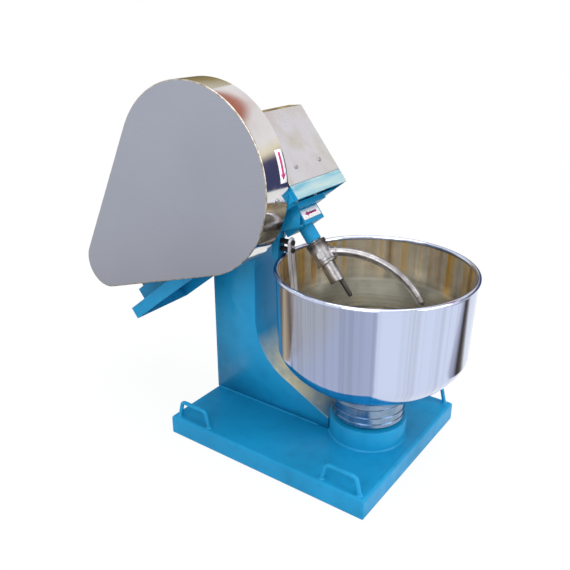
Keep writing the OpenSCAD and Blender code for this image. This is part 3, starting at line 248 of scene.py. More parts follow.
def reach_along(tree, place, start, way):
    """How far a place lies beyond a starting point in one direction."""
    apart = add_node(tree, "ShaderNodeVectorMath", operation="SUBTRACT")
    apart.inputs[1].default_value = start
    tree.links.new(place, apart.inputs[0])
    product = add_node(tree, "ShaderNodeVectorMath", operation="DOT_PRODUCT")
    product.inputs[1].default_value = way
    tree.links.new(apart.outputs["Vector"], product.inputs[0])
    return product.outputs["Value"]


def height_of(tree, place):
    split = add_node(tree, "ShaderNodeSeparateXYZ")
    tree.links.new(place, split.inputs["Vector"])
    return split.outputs["Z"]


def facing_up(tree):
    """How far the surface faces up, one for level ground."""
    shape = add_node(tree, "ShaderNodeNewGeometry")
    return height_of(tree, shape.outputs["Normal"])


def noise(tree, vector, scale, detail=3.0):
    texture = add_node(tree, "ShaderNodeTexNoise")
    texture.inputs["Scale"].default_value = scale
    texture.inputs["Detail"].default_value = detail
    tree.links.new(vector, texture.inputs["Vector"])
    return texture.outputs["Fac"]


def ramp(tree, factor, stops):
    """Colour ramp of (place, colour) stops."""
    node = add_node(tree, "ShaderNodeValToRGB")
    elements = node.color_ramp.elements
    while len(elements) < len(stops):
        elements.new(1.0)
    for element, (place, colour) in zip(elements, stops):
        element.position = place
        element.color = (*colour, 1.0)
    tree.links.new(factor, node.inputs["Fac"])
    return node.outputs["Color"]


def level(tree, factor, low, high, start=0.3, end=0.7):
    """Map a pattern to a range of plain numbers."""
    node = add_node(tree, "ShaderNodeMapRange")
    node.inputs["From Min"].default_value = start
    node.inputs["From Max"].default_value = end
    node.inputs["To Min"].default_value = low
    node.inputs["To Max"].default_value = high
    tree.links.new(factor, node.inputs["Value"])
    return node.outputs["Result"]


def mixed(tree, factor, first, second, how="MIX"):
    """Mix two colours, each a socket or a fixed colour; the factor is a socket or a number."""
    node = add_node(tree, "ShaderNodeMix", data_type="RGBA", blend_type=how)
    for socket, value in ((node.inputs[0], factor), (node.inputs[6], first), (node.inputs[7], second)):
        if isinstance(value, bpy.types.NodeSocket):
            tree.links.new(value, socket)
        else:
            socket.default_value = value if isinstance(value, float) else (*value, 1.0)
    return node.outputs[2]


def multiply(tree, factor, first, second):
    return mixed(tree, factor, first, second, "MULTIPLY")


def add_bump(tree, surface, height, strength, distance):
    bump = add_node(tree, "ShaderNodeBump")
    bump.inputs["Strength"].default_value = strength
    bump.inputs["Distance"].default_value = distance
    tree.links.new(height, bump.inputs["Height"])
    tree.links.new(bump.outputs["Normal"], surface.inputs["Normal"])


# Finishes

GRAIN_SLOPE = math.radians(38.5)
# Height band inside the bowl where the painted warm reflections give way to darker grey.
WARM_REFLECTION_LINE = (0.39, 0.44)
SLEEVE_DARK_REACH = (-0.125, -0.105)


def floor_paper():
    """White paper: most of it shows white as it is, the rest takes the shadow, less and less outwards."""
    material, tree, surface = new_finish("floor_paper", 0.9)
    place = object_place(tree)
    tree.links.new(ramp(tree, noise(tree, place, 40.0, 2.0), [
        (0.3, (0.90, 0.90, 0.90)), (0.7, (0.93, 0.93, 0.93))]), surface.inputs["Base Color"])
    surface.inputs["Specular IOR Level"].default_value = 0.0
    white = add_node(tree, "ShaderNodeEmission")
    white.inputs["Color"].default_value = (1, 1, 1, 1)
    reach = add_node(tree, "ShaderNodeVectorMath", operation="LENGTH")
    tree.links.new(place, reach.inputs[0])
    share = add_node(tree, "ShaderNodeMath", operation="MULTIPLY")
    tree.links.new(seen_as_white(tree), share.inputs[0])
    tree.links.new(level(tree, reach.outputs["Value"], FLOOR_WHITE, 1.0, *FLOOR_FADE), share.inputs[1])
    choose = add_node(tree, "ShaderNodeMixShader")
    tree.links.new(share.outputs["Value"], choose.inputs["Fac"])
    tree.links.new(surface.outputs["BSDF"], choose.inputs[1])
    tree.links.new(white.outputs["Emission"], choose.inputs[2])
    tree.links.new(choose.outputs["Shader"], tree.nodes["Material Output"].inputs["Surface"])
    return material


def card_paint(name, stand, length, stops):
    material, tree, _ = new_finish(name, 0.9)
    low = stand @ Vector((0, -length / 2, 0))
    reach = reach_along(tree, object_place(tree), low, stand.col[1].xyz)
    bands = add_node(tree, "ShaderNodeEmission")
    tree.links.new(ramp(tree, level(tree, reach, 0.0, 1.0, 0.0, length), stops), bands.inputs["Color"])
    tree.links.new(bands.outputs["Emission"], tree.nodes["Material Output"].inputs["Surface"])
    return material


def enamel_coat(tree, place):
    """Colour of brushed-on machine enamel: slow changes of tone, grime and a few pale specks."""
    tone = ramp(tree, noise(tree, place, 4.0, 3.0), [
        (0.30, (0.006, 0.205, 0.400)), (0.50, (0.007, 0.235, 0.460)), (0.70, (0.009, 0.268, 0.525))])
    grime = ramp(tree, noise(tree, place, 30.0, 5.0), [
        (0.30, (0.84, 0.87, 0.87)), (0.50, (1.0, 1.0, 1.0))])
    specks = ramp(tree, noise(tree, place, 210.0, 2.0), [
        (0.70, (0, 0, 0)), (0.76, (0.25, 0.25, 0.25))])
    return mixed(tree, specks, multiply(tree, 0.8, tone, grime), (0.20, 0.24, 0.26))


def finish_enamel(tree, surface, place):
    """Gloss and brush marks of the enamel."""
    brush = noise(tree, stretched(tree, place, (1.0, 1.0, 0.12)), 110.0, 2.0)
    tree.links.new(level(tree, noise(tree, place, 24.0), 0.28, 0.46), surface.inputs["Roughness"])
    surface.inputs["Specular IOR Level"].default_value = 0.16
    add_bump(tree, surface, brush, 0.10, 0.4 * MM)


def blue_enamel():
    material, tree, surface = new_finish("blue_enamel", 0.36)
    place = object_place(tree)
    tree.links.new(enamel_coat(tree, place), surface.inputs["Base Color"])
    finish_enamel(tree, surface, place)
    return material


def dust_and_sheen_enamel():
    """Enamel of the column's front, pale straw in patches where it faces up: partly flour dust, partly a painted
    warm reflection.
    """
    material, tree, surface = new_finish("dust_and_sheen_enamel", 0.50)
    place = object_place(tree)
    lying = level(tree, facing_up(tree), 0.0, 0.85, 0.25, 0.80)
    patchy = ramp(tree, noise(tree, place, 26.0, 4.0), [(0.30, (0.55, 0.55, 0.55)), (0.58, (1, 1, 1))])
    # Pale straw where the surface faces up: flour dust and a painted warm reflection.
    dust_and_sheen = multiply(tree, 1.0, lying, patchy)
    tree.links.new(mixed(tree, dust_and_sheen, enamel_coat(tree, place), (0.80, 0.70, 0.42)),
                   surface.inputs["Base Color"])
    finish_enamel(tree, surface, place)
    return material


def sheen_streak_enamel():
    """Enamel of the tray's front, pale and streaked: a painted reflection of pale light."""
    material, tree, surface = new_finish("sheen_streak_enamel", 0.40)
    place = object_place(tree)
    streaks = noise(tree, stretched(tree, place, (14.0, 7.0, 60.0)), 1.0, 4.0)
    # Pale streaks on the front face: a painted reflection.
    lightened = ramp(tree, streaks, [
        (0.28, (0.05, 0.25, 0.36)), (0.42, (0.20, 0.36, 0.42)), (0.55, (0.28, 0.42, 0.45)),
        (0.70, (0.38, 0.45, 0.44))])
    tree.links.new(lightened, surface.inputs["Base Color"])
    finish_enamel(tree, surface, place)
    return material


def brushed_sheet():
    """Stainless sheet with a fine brushed grain along the tray and slow cloudy tones."""
    material, tree, surface = new_finish("brushed_sheet", 0.46, 1.0)
    place = object_place(tree)
    along_tray = stretched(tree, place, (30.0, 900.0, 900.0), (0, GRAIN_SLOPE, 0))
    grain = noise(tree, along_tray, 1.0, 2.0)
    cloud = noise(tree, place, 3.0, 2.0)
    tone = ramp(tree, cloud, [(0.30, (0.36, 0.38, 0.45)), (0.70, (0.40, 0.42, 0.49))])
    tree.links.new(multiply(tree, 0.10, tone, grain), surface.inputs["Base Color"])
    tree.links.new(level(tree, cloud, 0.42, 0.50), surface.inputs["Roughness"])
    add_bump(tree, surface, grain, 0.05, 0.12 * MM)
    return material


def folded_edge():
    """Fold between the guard's face and rim, dark brown as a painted dark reflection, paler in random places."""
    material, tree, surface = new_finish("folded_edge", 0.28, 1.0)
    place = object_place(tree)
    mottle = noise(tree, place, 60.0, 4.0)
    # Dark brown fold: a painted dark reflection.
    tree.links.new(ramp(tree, mottle, [(0.30, (0.26, 0.22, 0.17)), (0.60, (0.54, 0.51, 0.47))]),
                   surface.inputs["Base Color"])
    tree.links.new(level(tree, mottle, 0.22, 0.36), surface.inputs["Roughness"])
    return material


def satin_sheet():
    """Thin stainless sheet of the gear cover, cloudy with a faint straw stain."""
    material, tree, surface = new_finish("satin_sheet", 0.26, 1.0)
    place = object_place(tree)
    cloud = noise(tree, place, 14.0, 4.0)
    tree.links.new(ramp(tree, cloud, [(0.32, (0.62, 0.60, 0.57)), (0.56, (0.69, 0.70, 0.76))]),
                   surface.inputs["Base Color"])
    tree.links.new(level(tree, noise(tree, place, 20.0), 0.20, 0.32), surface.inputs["Roughness"])
    add_bump(tree, surface, noise(tree, place, 8.0, 1.0), 0.10, 2.0 * MM)
    return material


def straw_sheet():
    """Slanted strip along the gear cover's top, straw and olive in streaks: a painted reflection on this face of
    the sheet.
    """
    material, tree, surface = new_finish("straw_sheet", 0.30, 0.8)
    place = object_place(tree)
    tint = noise(tree, stretched(tree, place, (40.0, 16.0, 40.0)), 1.0, 3.0)
    # Brown to straw on the slanted strip only: a painted reflection.
    tree.links.new(ramp(tree, tint, [
        (0.32, (0.20, 0.15, 0.06)), (0.48, (0.36, 0.29, 0.13)), (0.62, (0.66, 0.57, 0.36))]),
        surface.inputs["Base Color"])
    tree.links.new(level(tree, tint, 0.24, 0.38), surface.inputs["Roughness"])
    return material


def bright_sheet():
    """Stainless sheet left bright, as it comes from the mill."""
    material, tree, surface = new_finish("bright_sheet", 0.10, 1.0)
    place = object_place(tree)
    cloud = noise(tree, place, 9.0, 3.0)
    colour = ramp(tree, cloud, [(0.30, (0.66, 0.64, 0.63)), (0.70, (0.80, 0.79, 0.80))])
    tree.links.new(colour, surface.inputs["Base Color"])
    tree.links.new(level(tree, noise(tree, place, 26.0), 0.05, 0.14), surface.inputs["Roughness"])
    add_bump(tree, surface, noise(tree, place, 10.0, 1.0), 0.10, 1.5 * MM)
    return material


def polished_bowl():
    """Spun and polished stainless: rings from the spinning tool and fine upright streaks."""
    material, tree, surface = new_finish("polished_bowl", 0.12, 1.0)
    place = object_place(tree)
    rings = noise(tree, stretched(tree, place, (0.0, 0.0, 1.0)), 420.0, 3.0)
    streaks = noise(tree, around_axis(tree, place), 16.0, 4.0)
    tree.links.new(ramp(tree, streaks, [(0.34, (0.49, 0.54, 0.69)), (0.52, (0.57, 0.63, 0.82))]),
                   surface.inputs["Base Color"])
    tree.links.new(level(tree, streaks, 0.08, 0.16), surface.inputs["Roughness"])
    add_bump(tree, surface, rings, 0.05, 0.3 * MM)
    return material


def bowl_inside_reflections():
    """Inside of the bowl: painted warm reflections in upright streaks high on the wall, darker grey and ringed
    below a set height as painted shade and reflection.
    """
    material, tree, surface = new_finish("bowl_inside_reflections", 0.16, 0.8)
    place = object_place(tree)
    streaks = noise(tree, around_axis(tree, place), 5.0, 5.0)
    # Warm streaks on the upper wall: painted reflections of warm surroundings.
    painted_warm_reflections = ramp(tree, streaks, [
        (0.34, (0.36, 0.25, 0.15)), (0.43, (0.82, 0.66, 0.46)), (0.50, (0.90, 0.84, 0.72)),
        (0.57, (1.00, 0.62, 0.15)), (0.62, (0.58, 0.40, 0.22)), (0.70, (0.88, 0.84, 0.76))])
    # Darker grey with rings lower down: painted shade and reflection.
    rings = ramp(tree, noise(tree, stretched(tree, place, (0.0, 0.0, 1.0)), 60.0, 2.0), [
        (0.40, (0.26, 0.255, 0.225)), (0.52, (0.38, 0.375, 0.335)), (0.62, (0.46, 0.455, 0.415))])
    ragged = add_node(tree, "ShaderNodeMath", operation="ADD")
    tree.links.new(height_of(tree, place), ragged.inputs[0])
    tree.links.new(level(tree, streaks, -0.02, 0.02), ragged.inputs[1])
    above = level(tree, ragged.outputs["Value"], 0.0, 1.0, *WARM_REFLECTION_LINE)
    tree.links.new(mixed(tree, above, rings, painted_warm_reflections), surface.inputs["Base Color"])
    tree.links.new(level(tree, noise(tree, place, 30.0), 0.12, 0.24), surface.inputs["Roughness"])
    turning = noise(tree, stretched(tree, place, (0.0, 0.0, 1.0)), 300.0, 2.0)
    add_bump(tree, surface, turning, 0.10, 0.4 * MM)
    return material


def lathe_turned(name, dark, pale):
    """Turned steel with fine lathe marks."""
    material, tree, surface = new_finish(name, 0.24, 1.0)
    place = object_place(tree)
    lathe_marks = noise(tree, stretched(tree, place, (0.0, 0.0, 1.0)), 900.0, 2.0)
    cloud = noise(tree, place, 30.0, 4.0)
    tree.links.new(ramp(tree, cloud, [(0.3, dark), (0.7, pale)]), surface.inputs["Base Color"])
    tree.links.new(level(tree, cloud, 0.16, 0.30), surface.inputs["Roughness"])
    add_bump(tree, surface, lathe_marks, 0.10, 0.2 * MM)
    return material


def ground_casting():
    """Cast steel that was ground by hand: dull, mottled, slightly uneven, darker next to the sleeve."""
    material, tree, surface = new_finish("ground_casting", 0.34, 1.0)
    place = object_place(tree)
    cloud = noise(tree, place, 45.0, 5.0)
    metal = ramp(tree, cloud, [(0.3, (0.20, 0.19, 0.19)), (0.7, (0.44, 0.43, 0.45))])
    # Darker in a band along the kneader's axis next to the sleeve.
    reach = reach_along(tree, place, HEAD.translation, HEAD.col[2].xyz)
    sleeve_darkening = ramp(tree, level(tree, reach, 0.0, 1.0, *SLEEVE_DARK_REACH), [
        (0.2, (1.0, 1.0, 1.0)), (0.8, (0.34, 0.32, 0.30))])
    tree.links.new(multiply(tree, 1.0, metal, sleeve_darkening), surface.inputs["Base Color"])
    tree.links.new(level(tree, noise(tree, place, 120.0), 0.26, 0.44), surface.inputs["Roughness"])
    add_bump(tree, surface, noise(tree, place, 160.0, 3.0), 0.22, 0.5 * MM)
    return material


def satin_rod():
    """Ground steel rod of the scraper, dull and pale."""
    material, tree, surface = new_finish("satin_rod", 0.36, 0.55)
    place = object_place(tree)
    cloud = noise(tree, stretched(tree, place, (60.0, 60.0, 14.0)), 1.0, 4.0)
    tree.links.new(ramp(tree, cloud, [(0.32, (0.36, 0.35, 0.38)), (0.60, (0.68, 0.67, 0.72))]),
                   surface.inputs["Base Color"])
    tree.links.new(level(tree, cloud, 0.30, 0.44), surface.inputs["Roughness"])
    return material


def zinc_plate():
    material, tree, surface = new_finish("zinc_plate", 0.36, 1.0)
    cloud = noise(tree, object_place(tree), 200.0, 3.0)
    tree.links.new(ramp(tree, cloud, [(0.3, (0.28, 0.28, 0.29)), (0.7, (0.46, 0.46, 0.47))]),
                   surface.inputs["Base Color"])
    tree.links.new(level(tree, cloud, 0.42, 0.58), surface.inputs["Roughness"])
    return material


def black_oxide():
    """Blackened steel, rubbed a little on its high spots."""
    material, tree, surface = new_finish("black_oxide", 0.42, 0.7)
    place = object_place(tree)
    tree.links.new(ramp(tree, noise(tree, place, 90.0, 4.0), [
        (0.3, (0.020, 0.018, 0.017)), (0.7, (0.070, 0.062, 0.056))]), surface.inputs["Base Color"])
    tree.links.new(level(tree, noise(tree, place, 60.0), 0.34, 0.52), surface.inputs["Roughness"])
    return material


def grey_iron():
    material, tree, surface = new_finish("grey_iron", 0.55, 0.8)
    place = object_place(tree)
    tree.links.new(ramp(tree, noise(tree, place, 60.0, 5.0), [
        (0.3, (0.10, 0.10, 0.105)), (0.7, (0.20, 0.20, 0.21))]), surface.inputs["Base Color"])
    add_bump(tree, surface, noise(tree, place, 320.0, 3.0), 0.30, 0.4 * MM)
    return material


def cut_bronze():
    material, tree, surface = new_finish("cut_bronze", 0.28, 1.0)
    cloud = noise(tree, object_place(tree), 80.0, 4.0)
    tree.links.new(ramp(tree, cloud, [(0.3, (0.46, 0.29, 0.10)), (0.7, (0.62, 0.42, 0.17))]),
                   surface.inputs["Base Color"])
    tree.links.new(level(tree, cloud, 0.20, 0.36), surface.inputs["Roughness"])
    return material


def black_rubber():
    material, tree, surface = new_finish("black_rubber", 0.75)
    cloud = noise(tree, object_place(tree), 140.0, 4.0)
    tree.links.new(ramp(tree, cloud, [(0.3, (0.010, 0.010, 0.010)), (0.7, (0.026, 0.026, 0.026))]),
                   surface.inputs["Base Color"])
    add_bump(tree, surface, cloud, 0.2, 0.3 * MM)
    return material


def motor_paint():
    material, tree, surface = new_finish("motor_paint", 0.45)
    place = object_place(tree)
    tree.links.new(ramp(tree, noise(tree, place, 30.0, 4.0), [
        (0.3, (0.095, 0.115, 0.135)), (0.7, (0.135, 0.155, 0.180))]), surface.inputs["Base Color"])
    tree.links.new(level(tree, noise(tree, place, 60.0), 0.36, 0.52), surface.inputs["Roughness"])
    add_bump(tree, surface, noise(tree, place, 400.0, 2.0), 0.15, 0.3 * MM)
    return material


def black_moulding():
    material, tree, surface = new_finish("black_moulding", 0.50)
    grain = noise(tree, object_place(tree), 600.0, 2.0)
    tree.links.new(ramp(tree, grain, [(0.3, (0.012, 0.012, 0.013)), (0.7, (0.022, 0.022, 0.024))]),
                   surface.inputs["Base Color"])
    add_bump(tree, surface, grain, 0.12, 0.2 * MM)
    return material


def sticker_vinyl(name, dark, pale):
    """Printed vinyl, slightly scuffed."""
    material, tree, surface = new_finish(name, 0.40)
    scuff = noise(tree, object_place(tree), 150.0, 4.0)
    tree.links.new(ramp(tree, scuff, [(0.3, dark), (0.6, pale)]), surface.inputs["Base Color"])
    tree.links.new(level(tree, scuff, 0.32, 0.50), surface.inputs["Roughness"])
    return material


FINISHES = {
    "blue_paint": blue_enamel(),
    "stainless_sheet": bright_sheet(),
    "polished_stainless": polished_bowl(),
    "machined_steel": lathe_turned("turned_steel", (0.34, 0.36, 0.42), (0.50, 0.52, 0.58)),
    "fork_casting": ground_casting(),
    "fasteners": zinc_plate(),
    "cast_iron": grey_iron(),
    "bronze": cut_bronze(),
    "black_rubber": black_rubber(),
    "motor_casting": motor_paint(),
    "motor_sheet": motor_paint(),
    "black_plastic": black_moulding(),
}
DUST_AND_SHEEN_ENAMEL = dust_and_sheen_enamel()
SHEEN_STREAK_ENAMEL = sheen_streak_enamel()
BRUSHED_SHEET = brushed_sheet()
FOLDED_EDGE = folded_edge()
SATIN_SHEET = satin_sheet()
STRAW_SHEET = straw_sheet()
BOWL_INSIDE_REFLECTIONS = bowl_inside_reflections()
# Darker, bluish steel for the hub: painted shade and a painted reflection of the blue base.
HUB_STEEL_BLUE_REFLECTION = lathe_turned("hub_steel_blue_reflection", (0.17, 0.26, 0.38), (0.32, 0.41, 0.54))
SATIN_ROD = satin_rod()
BLACK_OXIDE = black_oxide()
WHITE_VINYL = sticker_vinyl("white_vinyl", (0.74, 0.73, 0.74), (0.90, 0.89, 0.90))
MAGENTA_INK = sticker_vinyl("magenta_ink", (0.36, 0.015, 0.13), (0.50, 0.025, 0.20))


# Building blocks of the pieces

CREASE = 35
STEPS_ROUND = 128


def new_piece(name, bm, slot, body, stands_for=(), finishes=None, crease=CREASE):
    """Make a piece from a bmesh, let it ride on a body and hide the nodes it stands for."""
    mesh = bpy.data.meshes.new(name)
    bm.to_mesh(mesh)
    bm.free()
    for finish in finishes or [FINISHES[slot]]:
        mesh.materials.append(finish)
    mesh.shade_smooth()
    mesh.set_sharp_from_angle(angle=math.radians(crease))
    piece = bpy.data.objects.new(name, mesh)
    bpy.context.scene.collection.objects.link(piece)
    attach(piece, body)
    if stands_for:
        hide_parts(*stands_for)
    return piece


def round_edges(piece, width, segments):
    bevel = piece.modifiers.new("rounded_edges", "BEVEL")
    bevel.width = width
    bevel.segments = segments
    bevel.limit_method = "ANGLE"
    bevel.angle_limit = math.radians(CREASE)
    bevel.use_clamp_overlap = False
    bevel.harden_normals = True


def thicken(piece, thickness):
    """Give a sheet its thickness, behind the face that shows."""
    wall = piece.modifiers.new("wall", "SOLIDIFY")
    wall.thickness = thickness
    wall.offset = -1


def node_copy(node):
    """Copy of a node's mesh with its loose triangles merged."""
    bm = bmesh.new()
    bm.from_mesh(nodes[node].data)
    bmesh.ops.remove_doubles(bm, verts=bm.verts, dist=1e-6)
    return bm


def softened(node, width, segments=2, finishes=None, choose=None):
    """Copy of a node with its flat faces joined and its edges rounded; choose picks a face's finish."""
    bm = node_copy(node)
    bmesh.ops.dissolve_limit(bm, angle_limit=math.radians(0.3), verts=bm.verts, edges=bm.edges)
    for face in bm.faces:
        face.material_index = choose(face) if choose else 0
    piece = new_piece(node + "_piece", bm, slot_of[node], body_of[node], [node], finishes)
    round_edges(piece, width, segments)
    return piece


def turned(profile, place=UPRIGHT, steps=STEPS_ROUND):
    """Spin (radius, height) points about the Z axis of a frame, closing a profile off the axis."""
    bm = bmesh.new()
    points = [bm.verts.new((r, 0, z)) for r, z in profile]
    edges = [bm.edges.new(pair) for pair in zip(points, points[1:])]
    if profile[0][0] > 0:
        edges.append(bm.edges.new((points[-1], points[0])))
    bmesh.ops.spin(bm, geom=points + edges, axis=(0, 0, 1), cent=(0, 0, 0), angle=2 * math.pi,
                   steps=steps, use_merge=True)
    bmesh.ops.remove_doubles(bm, verts=bm.verts, dist=1e-6)
    bmesh.ops.recalc_face_normals(bm, faces=bm.faces)
    if bm.calc_volume(signed=True) < 0:
        bmesh.ops.reverse_faces(bm, faces=bm.faces)
    bmesh.ops.transform(bm, matrix=place, verts=bm.verts)
    return bm


def spin_point(bm, point, centre, axis, angle, steps):
    """Spin one vertex into an arc of edges and return its last vertex."""
    made = bmesh.ops.spin(bm, geom=[point], axis=axis, cent=centre, angle=angle, steps=steps)
    return next(part for part in made["geom_last"] if isinstance(part, bmesh.types.BMVert))


def new_ring(bm, radius, place, segments=20, squash=(1, 1)):
    """Circle of edges in the XY plane of a frame, to be pulled along as a rod."""
    made = bmesh.ops.create_circle(bm, cap_ends=False, radius=radius, segments=segments)
    bmesh.ops.transform(bm, matrix=place @ Matrix.Diagonal((*squash, 1, 1)), verts=made["verts"])
    return list({edge for point in made["verts"] for edge in point.link_edges})


def ring_points(ring):
    return list({point for edge in ring for point in edge.verts})


def pull_ring(bm, ring, move):
    made = bmesh.ops.extrude_edge_only(bm, edges=ring)
    points = [part for part in made["geom"] if isinstance(part, bmesh.types.BMVert)]
    bmesh.ops.translate(bm, vec=move, verts=points)
    return [part for part in made["geom"] if isinstance(part, bmesh.types.BMEdge)
            and all(point in points for point in part.verts)]


def bend_ring(bm, ring, centre, axis, angle, steps):
    made = bmesh.ops.spin(bm, geom=ring + ring_points(ring), cent=centre, axis=axis, angle=angle,
                          steps=steps)
    return [part for part in made["geom_last"] if isinstance(part, bmesh.types.BMEdge)]


def close_ends(bm):
    open_edges = [edge for edge in bm.edges if edge.is_boundary]
    bmesh.ops.holes_fill(bm, edges=open_edges)
    bmesh.ops.recalc_face_normals(bm, faces=bm.faces)


# Bowl and what it stands on

BOWL_FLOOR = joint_place("bowl_spin").z
BOWL_RIM = BOWL_FLOOR + 311 * MM
BOWL_KNEE = BOWL_FLOOR + 110 * MM
BOWL_WALL = 2 * MM
BEAD_R = 6 * MM
BOWL_RIM_R = 245 * MM
BOWL_KNEE_R = 239 * MM
BOWL_FLAT_R = 94 * MM
DISH_POWER = 2 / 1.5
DISH_STEPS = 28

BASE_TOP = 55 * MM
PEDESTAL_R = 102 * MM
PEDESTAL_TOP = 110 * MM
PEDESTAL_BORE = 60 * MM
HUB_LOW = 120 * MM
HUB_SHOULDER = 172 * MM
HUB_R = 95 * MM
HUB_NECK_R = 91 * MM
HUB_GROOVES = (131.4 * MM, 149.1 * MM)


def bowl_side(set_in):
    """Rim, near-upright wall, dish and flat floor of one face of the bowl."""
    points = [(BOWL_RIM_R - set_in, BOWL_RIM)]
    for step in range(DISH_STEPS + 1):
        angle = math.pi / 2 * step / DISH_STEPS
        swell = (BOWL_KNEE_R - BOWL_FLAT_R) * math.cos(angle) ** DISH_POWER
        depth = (BOWL_KNEE - BOWL_FLOOR - set_in / 2) * math.sin(angle) ** DISH_POWER
        points.append((BOWL_FLAT_R - set_in + swell, BOWL_KNEE + set_in / 2 - depth))
    points.append((0, BOWL_FLOOR + set_in))
    return points


def make_bowl():
    outer = bowl_side(0)
    inner = bowl_side(BOWL_WALL)
    bead_c = BOWL_RIM_R - BOWL_WALL / 2
    bead = []
    for step in range(1, 24):
        angle = math.radians(-75 - 330 * step / 24 + 180)
        bead.append((bead_c - BEAD_R * math.cos(angle), BOWL_RIM - BEAD_R * math.sin(angle)))
    bm = turned(outer[::-1] + bead + inner, steps=160)
    for face in bm.faces:
        middle = face.calc_center_median()
        if middle.z < BOWL_RIM - BEAD_R and face.normal.dot(Vector((middle.x, middle.y, -0.2))) < 0:
            face.material_index = 1
    new_piece("bowl_shell", bm, "polished_stainless", "bowl", ["bowl"],
              [FINISHES["polished_stainless"], BOWL_INSIDE_REFLECTIONS], crease=60)


def make_hub():
    profile = [(0, BOWL_FLOOR), (HUB_NECK_R, BOWL_FLOOR), (HUB_NECK_R, HUB_SHOULDER + 2 * MM),
               (HUB_NECK_R + 1 * MM, HUB_SHOULDER), (HUB_R - 1 * MM, HUB_SHOULDER),
               (HUB_R, HUB_SHOULDER - 1 * MM)]
    for groove in reversed(HUB_GROOVES):
        profile += [(HUB_R, groove + 2.0 * MM), (HUB_R - 0.5 * MM, groove + 1.5 * MM),
                    (HUB_R - 2.5 * MM, groove + 1.5 * MM), (HUB_R - 2.5 * MM, groove - 1.5 * MM),
                    (HUB_R - 0.5 * MM, groove - 1.5 * MM), (HUB_R, groove - 2.0 * MM)]
    profile += [(HUB_R, HUB_LOW + 1.5 * MM), (HUB_R - 1.5 * MM, HUB_LOW), (0, HUB_LOW)]
    new_piece("bowl_hub_turning", turned(profile), "machined_steel", "bowl", ["bowl_hub"],
              [HUB_STEEL_BLUE_REFLECTION])


def make_pedestal():
    profile = [(PEDESTAL_BORE, PEDESTAL_TOP), (PEDESTAL_R - 5 * MM, PEDESTAL_TOP),
               (PEDESTAL_R - 2 * MM, PEDESTAL_TOP - 1 * MM), (PEDESTAL_R, PEDESTAL_TOP - 4 * MM),
               (PEDESTAL_R, BASE_TOP + 4 * MM), (PEDESTAL_R + 2 * MM, BASE_TOP + 2.5 * MM),
               (PEDESTAL_R + 4 * MM, BASE_TOP), (PEDESTAL_BORE, BASE_TOP)]
    new_piece("pedestal_drum", turned(profile), "blue_paint", "root", ["pedestal_housing"])


# Column

COLUMN_REAR = -473 * MM
COLUMN_HALF = 61 * MM
COLUMN_PLATE = 5 * MM
TOE_X = -86.2 * MM
TOE_TOP = 89.2 * MM
HEEL_START = Vector((-233.9, 0, 162.9)) * MM
HEEL_CENTRE = Vector((-158, 0, 315)) * MM
HEEL_TURN = math.radians(63.5)
THROAT_TOP = Vector((-328, 0, 461)) * MM
NOSE_CENTRE = Vector((-199, 0, 461)) * MM
NOSE_TURN = math.radians(70)
NOSE_LOW = Vector((-185.6, 0, 603.2)) * MM
NOSE_HIGH = Vector((-185.6, 0, 654.5)) * MM
REAR_HIGH = Vector((-473, 0, 425.8)) * MM
BLOCK_REAR = -36.3 * MM
ACROSS = Vector((0, 1, 0))


def column_wire(bm, side):
    """Near outline of the column: foot, toe, heel, throat, nose and the slope under the tray."""
    corners = [bm.verts.new(corner + side) for corner in (
        Vector((COLUMN_REAR, 0, BASE_TOP)), Vector((TOE_X, 0, BASE_TOP)), Vector((TOE_X, 0, TOE_TOP)),
        HEEL_START, THROAT_TOP, NOSE_LOW, NOSE_HIGH, REAR_HIGH)]
    foot, toe, toe_top, heel, throat, nose_low, nose_high, rear = corners
    heel_end = spin_point(bm, heel, HEEL_CENTRE + side, ACROSS, HEEL_TURN, 20)
    nose_start = spin_point(bm, throat, NOSE_CENTRE + side, ACROSS, NOSE_TURN, 20)
    for pair in ((foot, toe), (toe, toe_top), (toe_top, heel), (heel_end, throat),
                 (nose_start, nose_low), (nose_low, nose_high), (nose_high, rear), (rear, foot)):
        bm.edges.new(pair)


def make_column():
    bm = bmesh.new()
    column_wire(bm, -COLUMN_HALF * ACROSS)
    near = bmesh.ops.contextual_create(bm, geom=list(bm.edges))["faces"][0]
    pulled = bmesh.ops.extrude_face_region(bm, geom=[near], use_keep_orig=True)
    far_points = [part for part in pulled["geom"] if isinstance(part, bmesh.types.BMVert)]
    bmesh.ops.translate(bm, vec=2 * COLUMN_HALF * ACROSS, verts=far_points)
    bmesh.ops.recalc_face_normals(bm, faces=bm.faces)
    unseen = [face for face in bm.faces if face.normal.z < -0.99 or face.normal.x < -0.5
              or face.normal.dot(HEAD.col[2].xyz) > 0.99
              or face.normal.x > 0.99 and face.calc_center_median().x > HEEL_START.x]
    bmesh.ops.delete(bm, geom=unseen, context="FACES")
    for face in bm.faces:
        face.material_index = 0 if abs(face.normal.y) > 0.9 else 1
    sides = [edge for edge in bm.edges if len(edge.link_faces) == 2
             and abs(edge.link_faces[0].normal.y - edge.link_faces[1].normal.y) > 0.9]
    bmesh.ops.bevel(bm, geom=sides, offset=3 * MM, segments=3, profile=0.5, affect="EDGES", material=-1)
    open_far_nose(bm)
    piece = new_piece("column_body", bm, "blue_paint", "root",
                      ["column_near_plate", "column_far_plate", "column_front_skin"],
                      [FINISHES["blue_paint"], DUST_AND_SHEEN_ENAMEL])
    thicken(piece, COLUMN_PLATE)


